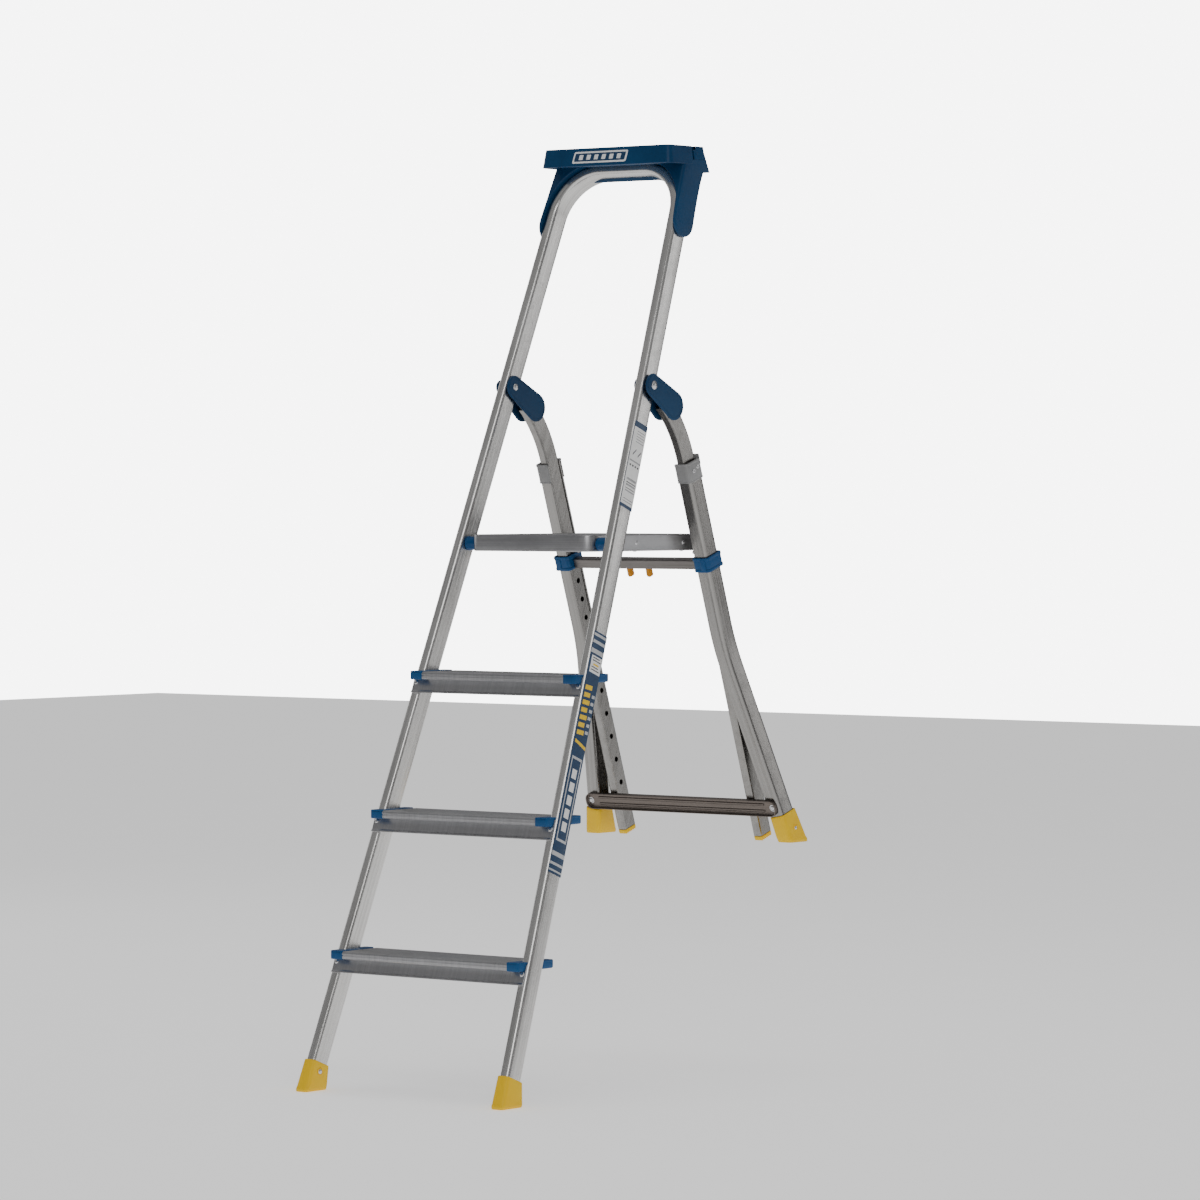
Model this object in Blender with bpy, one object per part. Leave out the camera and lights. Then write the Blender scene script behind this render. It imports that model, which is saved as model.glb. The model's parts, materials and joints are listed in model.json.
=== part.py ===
"""Platform step ladder with telescoping rear legs, in metres, +Z up, +X to the user's right.

The front frame is one bent tube that leans back; three treads, the platform and the rear legs hang on it.
Shapes are lofted from rings of points in three local frames: the world's, the leaning stiles' and the rear
legs'. Each frame's first axis is +X, so a left-hand piece is its right-hand piece with x turned over.
"""

import math

import bmesh
import bpy
from mathutils import Vector

GAP = 0.0003                    # between pieces that touch
RUN = 0.0006                    # between pieces that slide

# Front frame: an inverted U of flat-sided tube, leaning back.
STEP_RISE = 0.230
TREAD_COUNT = 3
LEAN = math.radians(21.14)
FLOOR_HALF_SPACING = 0.2085     # stile centre line to the middle plane, at the floor
TAPER = 0.0523                  # how far each stile comes in per metre of height
STILE_WIDTH = 0.019
STILE_DEPTH = 0.039
STILE_WALL = 0.0018
STILE_CORNER = 0.0045
ARCH_HEIGHT = 1.5385            # of the arch's centre line
ARCH_RADIUS = 0.085
STILE_END = 0.011               # tube's lower end, along the stile

# Front boots.
BOOT_TOP = 0.048                # along the stile
BOOT_WALL = 0.0022
BOOT_TOE = 0.0225
BOOT_HEEL = 0.0335
BOOT_HALF_WIDTH = 0.0135
BOOT_FLOOR = 0.0105             # pocket's floor, along the stile
BOOT_RIVET = 0.034

# Treads and their end caps, measured from the stiles' front face.
TREAD_NOSE = 0.022
TREAD_REAR = 0.0685
TREAD_SHEET = 0.002
NOSE_HEIGHT = 0.0135
REAR_LIP = 0.013
RISER_DEPTH = 0.036
RISER_OVERHANG = 0.0075         # beyond the stile's centre line
CAP_INNER = 0.0213              # cap's inner end, from the stile's centre line
CAP_OUTER = 0.0055
CAP_PROUD = 0.0008
CAP_CHAMFER = 0.006
TREAD_RIVET_DROP = 0.0195

# Platform.
PLATFORM_TOP = (TREAD_COUNT + 1) * STEP_RISE
RIM_HEIGHT = 0.0285
DECK_SHEET = 0.002
PIVOT_DROP = 0.0156             # pivot below the platform's top
DECK_FRONT = 0.0277             # deck's front edge, ahead of the pivot
DECK_REAR = 0.2823              # deck's rear edge, behind the pivot
DECK_CORNER = 0.022
DECK_SIDE_GAP = 0.0232          # rim to stile at the pivot, where the bushes stand
BUSH_RADIUS = 0.0115
BUSH_SHAFT = 0.0045

# Hinge bracket, in the plane of its cheeks, from the hinge pin along its own axis.
HINGE_RISE = 0.2504             # hinge pin above the platform's top
BRACKET_DROP = math.radians(30.4)
BRACKET_END = (0.0672, 0.0)
BRACKET_END_RADIUS = 0.0245
BRACKET_PIN_RADIUS = 0.0195
CHEEK = 0.004
CHEEK_CLEAR = 0.0035            # stile to cheek, on each side
CHEEK_SHIFT = 0.001             # middle of the cheeks outside the leg's centre line
FOLD = math.radians(38.4)
PIN_RADIUS = 0.0035
PIN_HEAD_RADIUS = 0.0055
PIN_HEAD = 0.0022

# Rear legs: perforated inner legs, and channels that slide on them.
LEG_LEAN = math.radians(18.81)
LEG_OFFSET = 0.0652             # leg centre line behind the hinge pin
LEG_SHIFT = 0.0009              # leg centre line outside the stile's, at the hinge
LEG_WIDTH = 0.017
LEG_DEPTH = 0.031
LEG_WALL = 0.0015
LEG_BEND_START = 0.1547
LEG_BEND_RADIUS = 0.2256
LEG_BEND = math.radians(30.2)
UPPER_PITCH = 0.034
UPPER_HOLES = 7
LOWER_PITCH = 0.043
LOWER_HOLES = 4
TRAVEL = UPPER_PITCH * UPPER_HOLES + LOWER_PITCH * LOWER_HOLES
HOLE_RADIUS = 0.0048
CHANNEL_SHIFT = 0.0028          # channel centre line outside the leg's
CHANNEL_WIDTH = 0.025
CHANNEL_DEPTH = 0.037
CHANNEL_WALL = 0.0018
CHANNEL_TOP = 0.160
SPLAY_START_Z = 0.765
SPLAY_SLOPE = 0.163
SPLAY_BLEND = 0.08
REAR_BOOT_LENGTH = 0.0525
REAR_BOOT_WALL = 0.0025

# Collars, crossbar, latches and brace on the channels.
COLLAR_WALL = 0.0015
COLLAR_LENGTH = 0.034
COLLAR_LID = 0.004
COLLAR_RIVET = 0.0021           # shank radius
CLAMP_LENGTH = 0.0257
CLAMP_WALL = 0.0045
CLAMP_SIDE = 0.0048
REST_PIN_RADIUS = 0.003
REST_PIN_REACH = 0.017
CROSSBAR_DEPTH = 0.018
CROSSBAR_HEIGHT = 0.017
CROSSBAR_WALL = 0.0015
LATCH_RADIUS = 0.004
LATCH_TRAVEL = 0.009
LEVER_X = 0.0207
LEVER_WIDTH = 0.008
LEVER_DEPTH = 0.009
LEVER_DROP = 0.0155
SPRING_START = 0.0425
SPRING_LENGTH = 0.0315
SPRING_RADIUS = 0.0053
SPRING_WIRE = 0.0006
SPRING_TURNS = 7
BRACE_HEIGHT = 0.029
BRACE_REACH = 0.0085            # beyond the leg's centre at each end
BRACE_DEPTH = 0.0078
BRACE_SHEET = 0.0018
BRACE_ABOVE_FOOT = 0.070        # along the leg
RIVET_RADIUS = 0.0026
RIVET_HEAD = 0.0045

# Top tray.
TRAY_HALF_WIDTH = 0.138
TRAY_TOP = 1.579
TRAY_HEIGHT = 0.0325
TRAY_WALL = 0.003
TRAY_RECESS = 0.0215            # depth of the recess
TRAY_CORNER = 0.012
TRAY_FRONT = 0.0174             # ahead of the tube's front face
TRAY_DEPTH = 0.072
TRAY_TAIL = 0.101               # length at the top with the tail rail
FILLER_START = 0.05             # where the corner fillers begin, from the middle
ARM_THICKNESS = 0.0045
ARM_FRONT = 0.034
ARM_REAR = 0.032
ARM_BOTTOM = 0.1215             # below the arch's centre line, along the stile

# Colour, roughness and metallic value of each finish.
FINISHES = {
    "aluminium": ((0.62, 0.62, 0.61), 0.34, 1.0),
    "tread_aluminium": ((0.55, 0.55, 0.56), 0.40, 1.0),
    "steel": ((0.70, 0.70, 0.71), 0.22, 1.0),
    "brace_metal": ((0.11, 0.095, 0.085), 0.45, 0.7),
    "dark_blue_plastic": ((0.003, 0.042, 0.115), 0.42, 0.0),
    "blue_plastic": ((0.004, 0.085, 0.235), 0.40, 0.0),
    "yellow_plastic": ((0.95, 0.60, 0.01), 0.42, 0.0),
    "orange_plastic": ((0.72, 0.30, 0.02), 0.45, 0.0),
    "grey_plastic": ((0.36, 0.36, 0.36), 0.45, 0.0),
}

SIN, COS, TAN = math.sin(LEAN), math.cos(LEAN), math.tan(LEAN)
LEG_SIN, LEG_COS = math.sin(LEG_LEAN), math.cos(LEG_LEAN)
X_AXIS = Vector((1, 0, 0))


class Frame:
    """An origin and three axes; x is always the world's x."""

    def __init__(self, origin, along, across):
        self.origin = Vector(origin)
        self.along = Vector(along)
        self.across = Vector(across)

    def at(self, x, along, across):
        return self.origin + X_AXIS * x + self.along * along + self.across * across


HINGE_Z = PLATFORM_TOP + HINGE_RISE
PIVOT_Z = PLATFORM_TOP - PIVOT_DROP
HINGE = Vector((0, HINGE_Z * TAN, HINGE_Z))
PIVOT = Vector((0, PIVOT_Z * TAN, PIVOT_Z))
WORLD = Frame((0, 0, 0), (0, 1, 0), (0, 0, 1))
STILE = Frame((0, 0, 0), (0, SIN, COS), (0, COS, -SIN))
LEG_ORIGIN = HINGE + Vector((0, LEG_COS, LEG_SIN)) * LEG_OFFSET
LEG = Frame(LEG_ORIGIN, (0, LEG_SIN, -LEG_COS), (0, LEG_COS, LEG_SIN))
BRACKET = Frame(
    HINGE,
    (0, math.cos(BRACKET_DROP), -math.sin(BRACKET_DROP)),
    (0, math.sin(BRACKET_DROP), math.cos(BRACKET_DROP)),
)

REAR_FOOT_Z = TRAVEL * LEG_COS
FOOT_S = (LEG_ORIGIN.z - REAR_FOOT_Z) / LEG_COS
LEG_END = FOOT_S - 0.006
SPLAY_START = (LEG_ORIGIN.z - SPLAY_START_Z) / LEG_COS
REST_PIN_Z = PLATFORM_TOP - RIM_HEIGHT - GAP - REST_PIN_RADIUS
REST_PIN_S = (LEG_ORIGIN.z - REST_PIN_Z) / LEG_COS
CLAMP_TOP = REST_PIN_S + REST_PIN_RADIUS + GAP
LATCH_S = CLAMP_TOP + CLAMP_LENGTH / 2 + 0.004
HALF_LEG = LEG_WIDTH / 2
HALF_LEG_DEPTH = LEG_DEPTH / 2
CHEEK_SPACE = STILE_WIDTH + 2 * CHEEK_CLEAR


def half_spacing(height):
    """Half the distance between the stiles' centre lines at a height."""
    return FLOOR_HALF_SPACING - TAPER * height


LEG_X = half_spacing(HINGE_Z) + LEG_SHIFT
CHANNEL_X = LEG_X + CHANNEL_SHIFT
CHANNEL_OUT = CHANNEL_X + CHANNEL_WIDTH / 2
CHANNEL_IN = CHANNEL_X - CHANNEL_WIDTH / 2
CLAMP_IN = CHANNEL_IN - CLAMP_SIDE


def stile_x(along):
    """The stile's centre line at a distance along the stile."""
    return half_spacing(along * COS)


def stile_y(height, normal=0.0):
    """How far back the leaning plane at this normal offset is, at a height."""
    return height * TAN + normal / COS


# ------------------------------------------------------------------ outlines

def circle(radius, centre=(0, 0), count=20, start=0.0):
    """Points round a circle."""
    return [
        (
            centre[0] + radius * math.cos(start + 2 * math.pi * i / count),
            centre[1] + radius * math.sin(start + 2 * math.pi * i / count),
        )
        for i in range(count)
    ]


def rounded(low, high, radius, steps=3):
    """A rectangle from its low corner to its high corner, with round corners."""
    (x0, y0), (x1, y1) = low, high
    centres = (
        (x1 - radius, y1 - radius, 0),
        (x0 + radius, y1 - radius, 90),
        (x0 + radius, y0 + radius, 180),
        (x1 - radius, y0 + radius, 270),
    )
    points = []
    for cx, cy, first in centres:
        for i in range(steps + 1):
            angle = math.radians(first + 90 * i / steps)
            points.append((cx + radius * math.cos(angle), cy + radius * math.sin(angle)))
    return points


def box_outline(low, high):
    """A plain rectangle from its low corner to its high corner."""
    return [(low[0], low[1]), (high[0], low[1]), (high[0], high[1]), (low[0], high[1])]


def two_circles(first_radius, end, end_radius, count=12):
    """The outline of a band stretched round a circle at (0, 0) and a circle at end."""
    length = math.hypot(*end)
    heading = math.atan2(end[1], end[0])
    open_angle = math.acos((first_radius - end_radius) / length)
    points = []
    for i in range(count + 1):
        angle = heading + open_angle + (2 * math.pi - 2 * open_angle) * i / count
        points.append((first_radius * math.cos(angle), first_radius * math.sin(angle)))
    for i in range(count + 1):
        angle = heading - open_angle + 2 * open_angle * i / count
        points.append((end[0] + end_radius * math.cos(angle), end[1] + end_radius * math.sin(angle)))
    return points


# ------------------------------------------------------------------ solids

def mesh_of(name, rings, side, inner=None):
    """Joins rings of points into a closed surface; inner rings make it a tube with open ends."""
    bm = bmesh.new()

    def row(ring):
        return [bm.verts.new((side * p.x, p.y, p.z)) for p in ring]

    def skin(rows):
        for low, high in zip(rows, rows[1:]):
            for i in range(len(low)):
                j = (i + 1) % len(low)
                bm.faces.new((low[i], low[j], high[j], high[i]))

    outer_rows = [row(ring) for ring in rings]
    skin(outer_rows)
    if inner is None:
        bm.faces.new(outer_rows[0])
        bm.faces.new(outer_rows[-1])
    else:
        inner_rows = [row(ring) for ring in inner]
        skin(inner_rows)
        for end in (0, -1):
            skin([outer_rows[end], inner_rows[end]])
    bmesh.ops.recalc_face_normals(bm, faces=bm.faces)
    bmesh.ops.triangulate(bm, faces=[f for f in bm.faces if len(f.verts) > 4])
    if bm.calc_volume(signed=True) < 0:
        bmesh.ops.reverse_faces(bm, faces=bm.faces)
    mesh = bpy.data.meshes.new(name)
    bm.to_mesh(mesh)
    bm.free()
    mesh.shade_smooth()
    mesh.set_sharp_from_angle(angle=math.radians(35))
    return mesh


def extruded(frame, axis, outline, low, high):
    """Two rings: an outline in the frame's other two axes, moved along one axis."""
    rings = []
    for value in (low, high):
        if axis == "x":
            rings.append([frame.at(value, a, b) for a, b in outline])
        elif axis == "along":
            rings.append([frame.at(a, value, b) for a, b in outline])
        else:
            rings.append([frame.at(a, b, value) for a, b in outline])
    return rings


def turned(frame, axis, centre, profile, count=16):
    """Rings of a turned piece: profile is a list of (place on the axis, radius)."""
    rings = []
    for value, radius in profile:
        rings.append(extruded(frame, axis, circle(radius, centre, count), value, value)[0])
    return rings


class Body:
    """An empty on a joint's axis, and the objects that move with it."""

    def __init__(self, name, place, parent=None):
        self.empty = bpy.data.objects.new(name, None)
        bpy.context.scene.collection.objects.link(self.empty)
        self.place = Vector(place)
        if parent:
            self.empty.parent = parent.empty
            self.empty.location = self.place - parent.place
        else:
            self.empty.location = (0, -DEPTH_CENTRE, 0)

    def link(self, name, mesh):
        obj = bpy.data.objects.new(name, mesh)
        bpy.context.scene.collection.objects.link(obj)
        obj.parent = self.empty
        obj.location = -self.place
        return obj

    def add(self, name, rings, finish, side=1, inner=None):
        """Makes a sub-part of this body from its rings."""
        mesh = mesh_of(name, rings, side, inner)
        mesh.materials.append(make_material(f"{name}_{finish}", *FINISHES[finish]))
        return self.link(name, mesh)

    def helper(self, name, rings, side=1):
        """Makes an unrendered shape that another piece is cut or joined with."""
        obj = self.link(name, mesh_of(name, rings, side))
        obj.hide_render = True
        obj.display_type = "WIRE"
        return obj

    def change(self, obj, rings, side=1, operation="DIFFERENCE"):
        """Cuts a shape out of obj, or joins it on."""
        name = f"{obj.name}_{operation.lower()}_{len(obj.modifiers) + 1}"
        modifier = obj.modifiers.new(name, "BOOLEAN")
        modifier.operation = operation
        modifier.solver = "EXACT"
        modifier.object = self.helper(name, rings, side)


def make_material(name, colour, roughness, metallic):
    """A plain Principled material for one sub-part."""
    made = bpy.data.materials.new(name)
    made.use_nodes = True
    shader = made.node_tree.nodes["Principled BSDF"]
    shader.inputs["Base Color"].default_value = (*colour, 1)
    shader.inputs["Roughness"].default_value = roughness
    shader.inputs["Metallic"].default_value = metallic
    return made


# ------------------------------------------------------------------ front frame

ARCH_ALONG = ARCH_HEIGHT / COS
SIDE_TILT = math.atan(TAPER * COS)


def arch_path(grow=0.0, start=STILE_END, steps=8):
    """Centre line of the bent tube from one lower end to the other, as (x, along, outward x, outward along).

    grow moves every point outwards. The bend is an arc that touches the stile line and the top line.
    """
    centre_along = ARCH_ALONG - ARCH_RADIUS
    centre_x = stile_x(centre_along) - ARCH_RADIUS / math.cos(SIDE_TILT)
    right = [(stile_x(start), start, SIDE_TILT)]
    for i in range(steps + 1):
        angle = SIDE_TILT + (math.pi / 2 - SIDE_TILT) * i / steps
        x = centre_x + ARCH_RADIUS * math.cos(angle)
        along = centre_along + ARCH_RADIUS * math.sin(angle)
        right.append((x, along, angle))
    left = [(-x, along, math.pi - angle) for x, along, angle in reversed(right)]
    points = []
    for x, along, angle in right + left:
        out_x, out_along = math.cos(angle), math.sin(angle)
        points.append((x + grow * out_x, along + grow * out_along, out_x, out_along))
    return points


def stile_rings(half_width, half_depth, corner, start=STILE_END):
    """Rings of the bent tube's section along its centre line."""
    section = rounded((-half_width, -half_depth), (half_width, half_depth), corner)
    rings = []
    for x, along, out_x, out_along in arch_path(start=start):
        rings.append([STILE.at(x + a * out_x, along + a * out_along, b) for a, b in section])
    return rings


def stile_stretch(low, high, grow, outward=0.0):
    """A straight stretch of the right stile, grown by a clearance, and further on its outer side."""
    rings = []
    for along in (low, high):
        x = stile_x(along)
        outline = box_outline(
            (x - STILE_WIDTH / 2 - grow, -STILE_DEPTH / 2 - grow),
            (x + STILE_WIDTH / 2 + grow + outward, STILE_DEPTH / 2 + grow),
        )
        rings.append([STILE.at(a, along, b) for a, b in outline])
    return rings


def make_front_frame(front):
    """The bent tube, open at both lower ends, drilled for every pin and rivet."""
    tube = front.add(
        "front_frame",
        stile_rings(STILE_WIDTH / 2, STILE_DEPTH / 2, STILE_CORNER),
        "aluminium",
        inner=stile_rings(
            STILE_WIDTH / 2 - STILE_WALL, STILE_DEPTH / 2 - STILE_WALL, STILE_CORNER - STILE_WALL
        ),
    )
    for side in (1, -1):
        through = (half_spacing(HINGE_Z) - STILE_WIDTH, half_spacing(HINGE_Z) + STILE_WIDTH)
        hole = circle(PIN_RADIUS + GAP, (HINGE.y, HINGE.z))
        front.change(tube, extruded(WORLD, "x", hole, *through), side)
        x = half_spacing(PIVOT_Z)
        hole = circle(BUSH_SHAFT + GAP, (PIVOT.y, PIVOT.z))
        front.change(tube, extruded(WORLD, "x", hole, x - STILE_WIDTH, x), side)
        x = stile_x(BOOT_RIVET)
        hole = circle(RIVET_RADIUS + GAP, (BOOT_RIVET, 0))
        front.change(tube, extruded(STILE, "x", hole, x - STILE_WIDTH, x), side)
        for k in range(1, TREAD_COUNT + 1):
            along, x = tread_rivet_place(k)
            hole = circle(RIVET_RADIUS + GAP, (x, along))
            front.change(tube, extruded(STILE, "across", hole, -STILE_DEPTH, 0), side)


def make_front_boot(front, side, word):
    """A boot: its sole is level, its top is square to the stile, and the tube stands in its pocket."""
    middle = half_spacing(0)
    sole = rounded((middle - BOOT_HALF_WIDTH, -BOOT_TOE), (middle + BOOT_HALF_WIDTH, BOOT_HEEL), 0.006)
    x = stile_x(BOOT_TOP)
    half_x, half_n = STILE_WIDTH / 2 + BOOT_WALL, STILE_DEPTH / 2 + BOOT_WALL
    top = rounded((x - half_x, -half_n), (x + half_x, half_n), STILE_CORNER + BOOT_WALL / 2)
    edge = 0.0015
    lower = rounded(
        (middle - BOOT_HALF_WIDTH + edge, -BOOT_TOE + edge),
        (middle + BOOT_HALF_WIDTH - edge, BOOT_HEEL - edge),
        0.0045,
    )
    rings = [
        [WORLD.at(a, b, 0) for a, b in lower],
        [WORLD.at(a, b, edge) for a, b in sole],
        [STILE.at(a, BOOT_TOP, b) for a, b in top],
    ]
    boot = front.add(f"front_foot_{word}", rings, "yellow_plastic", side)
    front.change(boot, stile_stretch(BOOT_FLOOR, BOOT_TOP + 0.02, GAP), side)
    hole = circle(RIVET_RADIUS + GAP, (BOOT_RIVET, 0))
    x = stile_x(BOOT_RIVET)
    front.change(boot, extruded(STILE, "x", hole, x - 2 * STILE_WIDTH, x), side)
    outer = x - STILE_WIDTH / 2 - BOOT_WALL - 0.0010
    profile = rivet_profile(outer, 1, BOOT_WALL + STILE_WALL + 0.003)
    front.add(f"front_foot_rivet_{word}", turned(STILE, "x", (BOOT_RIVET, 0), profile), "steel", side)


def rivet_profile(face, into, grip, head=RIVET_HEAD):
    """A domed head just off a face, and a shank that goes into it: (place, radius) from the head's top."""
    thick = 0.0016
    base = face - into * GAP
    return [
        (base - into * thick, head * 0.45),
        (base - into * thick * 0.55, head * 0.85),
        (base, head),
        (base, RIVET_RADIUS),
        (base + into * (grip + GAP), RIVET_RADIUS),
    ]


# ------------------------------------------------------------------ treads

def front_plane(height):
    """How far back the stiles' front face is at a height."""
    return stile_y(height, -STILE_DEPTH / 2)


def tread_rivet_place(k):
    """(along the stile, x) of a tread's rivet."""
    height = k * STEP_RISE - TREAD_RIVET_DROP
    normal = -STILE_DEPTH / 2
    along = (height + normal * SIN) / COS
    return along, stile_x(along)


def make_tread(front, k):
    """A folded aluminium tread: flat top, hollow nose, riser along the stiles' front, rear lip."""
    top = k * STEP_RISE
    under = top - TREAD_SHEET
    nose = front_plane(top) - TREAD_NOSE
    rear = front_plane(top) + TREAD_REAR
    riser_back = -STILE_DEPTH / 2 - GAP
    riser_front = riser_back - TREAD_SHEET
    low, shelf = top - RISER_DEPTH, top - NOSE_HEIGHT
    outline = [
        (nose, shelf),
        (nose, under),
        (nose + TREAD_SHEET, top),
        (rear, top),
        (rear, top - REAR_LIP),
        (rear - TREAD_SHEET, top - REAR_LIP),
        (rear - TREAD_SHEET, under),
        (stile_y(under, riser_back), under),
        (stile_y(low, riser_back), low),
        (stile_y(low, riser_front), low),
        (stile_y(shelf, riser_front), shelf),
    ]
    cell = [
        (nose + TREAD_SHEET, shelf + TREAD_SHEET),
        (nose + TREAD_SHEET, under),
        (stile_y(under, riser_front), under),
        (stile_y(shelf + TREAD_SHEET, riser_front), shelf + TREAD_SHEET),
    ]
    reach = half_spacing(top) + RISER_OVERHANG
    tread = front.add(f"tread_{k}", extruded(WORLD, "x", outline, -reach, reach), "tread_aluminium")
    front.change(tread, extruded(WORLD, "x", cell, -reach - 0.01, reach + 0.01))
    cap_end = half_spacing(top) - CAP_INNER - GAP
    for side in (1, -1):
        shelf_cut = box_outline((nose - 0.01, shelf - 2 * GAP), (rear + 0.01, top + 0.01))
        front.change(tread, extruded(WORLD, "x", shelf_cut, cap_end, reach + 0.01), side)
        along, x = tread_rivet_place(k)
        hole = extruded(STILE, "across", circle(RIVET_RADIUS + GAP, (x, along)), -STILE_DEPTH, 0)
        front.change(tread, hole, side)


def make_tread_cap(front, k, side, word):
    """A plastic end cap: two prongs that hold the stile from the front and the back."""
    top = k * STEP_RISE
    x = half_spacing(top)
    nose = front_plane(top) - TREAD_NOSE - CAP_PROUD
    rear = front_plane(top) + TREAD_REAR + CAP_PROUD
    low = top - NOSE_HEIGHT
    outline = [
        (nose, low + 0.002),
        (nose, top - 0.003),
        (nose + 0.003, top + CAP_PROUD),
        (rear, top + CAP_PROUD),
        (rear, low + CAP_CHAMFER),
        (rear - CAP_CHAMFER, low),
        (nose + 0.002, low),
    ]
    block = extruded(WORLD, "x", outline, x - CAP_INNER, x + CAP_OUTER)
    cap = front.add(f"tread_cap_{k}_{word}", block, "blue_plastic", side)
    along = top / COS
    front.change(cap, stile_stretch(along - 0.05, along + 0.05, GAP, 0.02), side)
    along, x = tread_rivet_place(k)
    face = -STILE_DEPTH / 2 - GAP - TREAD_SHEET
    profile = rivet_profile(face, 1, TREAD_SHEET + STILE_WALL + 0.003)
    rivet = turned(STILE, "across", (x, along), profile)
    front.add(f"tread_rivet_{k}_{word}", rivet, "steel", side)


# ------------------------------------------------------------------ top tray

def make_tray(front):
    """The tool tray: a recess, a tail rail, two arms down the stiles and corners that fill the bends."""
    front_y = front_plane(TRAY_TOP - 0.02) - TRAY_FRONT
    floor = TRAY_TOP - TRAY_HEIGHT
    tail = front_y + TRAY_TAIL
    outline = [
        (front_y, TRAY_TOP),
        (tail, TRAY_TOP),
        (tail + 0.013, TRAY_TOP - 0.044),
        (tail - 0.005, TRAY_TOP - 0.044),
        (tail - 0.011, TRAY_TOP - 0.0537),
        (tail - 0.037, TRAY_TOP - 0.056),
        (tail - 0.044, floor),
        (front_y + 0.006, floor),
        (front_y, floor + 0.003),
    ]
    block = extruded(WORLD, "x", outline, -TRAY_HALF_WIDTH, TRAY_HALF_WIDTH)
    tray = front.add("top_tray", block, "dark_blue_plastic")
    for side in (1, -1):
        front.change(tray, tray_arm(), side, "UNION")
        front.change(tray, bend_filler(floor), side, "UNION")
    recess = rounded(
        (-TRAY_HALF_WIDTH + TRAY_WALL, front_y + TRAY_WALL),
        (TRAY_HALF_WIDTH - TRAY_WALL, front_y + TRAY_DEPTH),
        TRAY_CORNER - TRAY_WALL,
    )
    front.change(tray, extruded(WORLD, "across", recess, TRAY_TOP - TRAY_RECESS, TRAY_TOP + 0.01))
    hollow = box_outline(
        (-FILLER_START + TRAY_WALL, front_y + TRAY_WALL), (FILLER_START - TRAY_WALL, tail - 0.044 - TRAY_WALL)
    )
    front.change(tray, extruded(WORLD, "across", hollow, floor - 0.01, TRAY_TOP - TRAY_RECESS - TRAY_WALL))
    slot_low, slot_high = front_y + TRAY_DEPTH + TRAY_WALL, tail - TRAY_WALL
    groove = box_outline((slot_low - 0.0005, TRAY_TOP - 0.012), (slot_low + 0.002, TRAY_TOP + 0.01))
    front.change(tray, extruded(WORLD, "x", groove, -TRAY_HALF_WIDTH - 0.01, TRAY_HALF_WIDTH + 0.01))
    for middle in (-0.0885, 0.0, 0.0885):
        slot = rounded((middle - 0.040, slot_low + 0.005), (middle + 0.040, slot_high), 0.003)
        front.change(tray, extruded(WORLD, "across", slot, TRAY_TOP - 0.046, TRAY_TOP + 0.01))
    for side in (1, -1):
        front.change(tray, tray_corner(front_y), side)
    inside = [(x, along) for x, along, _, _ in arch_path(STILE_WIDTH / 2 + GAP, ARCH_ALONG - 0.2)]
    half = STILE_DEPTH / 2 + GAP
    front.change(tray, extruded(STILE, "across", inside, -half, half))


def tray_corner(front_y):
    """What rounds off a front corner of the tray: a square less a quarter circle."""
    x, y, radius = TRAY_HALF_WIDTH, front_y, TRAY_CORNER
    outline = [(x + 0.01, y - 0.01), (x + 0.01, y + radius)]
    for i in range(7):
        angle = math.pi / 2 * i / 6
        outline.append((x - radius + radius * math.cos(angle), y + radius - radius * math.sin(angle)))
    outline.append((x - radius, y - 0.01))
    return extruded(WORLD, "across", outline, TRAY_TOP - 0.1, TRAY_TOP + 0.01)


def tray_arm():
    """A plate down the stile's outer side, with a round lower end."""
    bottom = ARCH_ALONG - ARM_BOTTOM
    middle = (ARM_REAR - ARM_FRONT) / 2
    radius = (ARM_REAR + ARM_FRONT) / 2
    outline = [(bottom + radius - radius * math.sin(a), middle - radius * math.cos(a)) for a in arc_angles()]
    high = (TRAY_TOP - 0.03) / COS
    outline += [(high + 0.005, ARM_REAR), (high - 0.018, -ARM_FRONT)]
    inner, outer = [], []
    for along, normal in outline:
        x = stile_x(along) + STILE_WIDTH / 2 + GAP
        inner.append(STILE.at(x, along, normal))
        outer.append(STILE.at(x + ARM_THICKNESS, along, normal))
    return [inner, outer]


def arc_angles(steps=10):
    """Angles of a half circle, front to rear."""
    return [math.pi * i / steps for i in range(steps + 1)]


def bend_filler(floor):
    """A block in the corner outside the bend; the tube's own shape is cut from it afterwards."""
    low, high = ARCH_ALONG - ARCH_RADIUS + 0.01, (floor + 0.012) / COS
    outline = [
        (FILLER_START, high - 0.012),
        (FILLER_START, high),
        (stile_x(high) + STILE_WIDTH / 2 + 0.002, high),
        (stile_x(low) + STILE_WIDTH / 2 + 0.002, low),
        (stile_x(low), low),
    ]
    return extruded(STILE, "across", outline, -STILE_DEPTH / 2 + 0.001, STILE_DEPTH / 2 - 0.001)


# ------------------------------------------------------------------ platform

def deck_half_width():
    """Half the deck's width; a bush fills the gap to the stile on each side."""
    return half_spacing(PIVOT_Z) - STILE_WIDTH / 2 - DECK_SIDE_GAP


def deck_outline(inset):
    """Plan of the deck with round corners, moved in by inset."""
    half = deck_half_width() - inset
    front_y, rear_y = PIVOT.y - DECK_FRONT + inset, PIVOT.y + DECK_REAR - inset
    return rounded((-half, front_y), (half, rear_y), DECK_CORNER - inset, 6)


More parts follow.
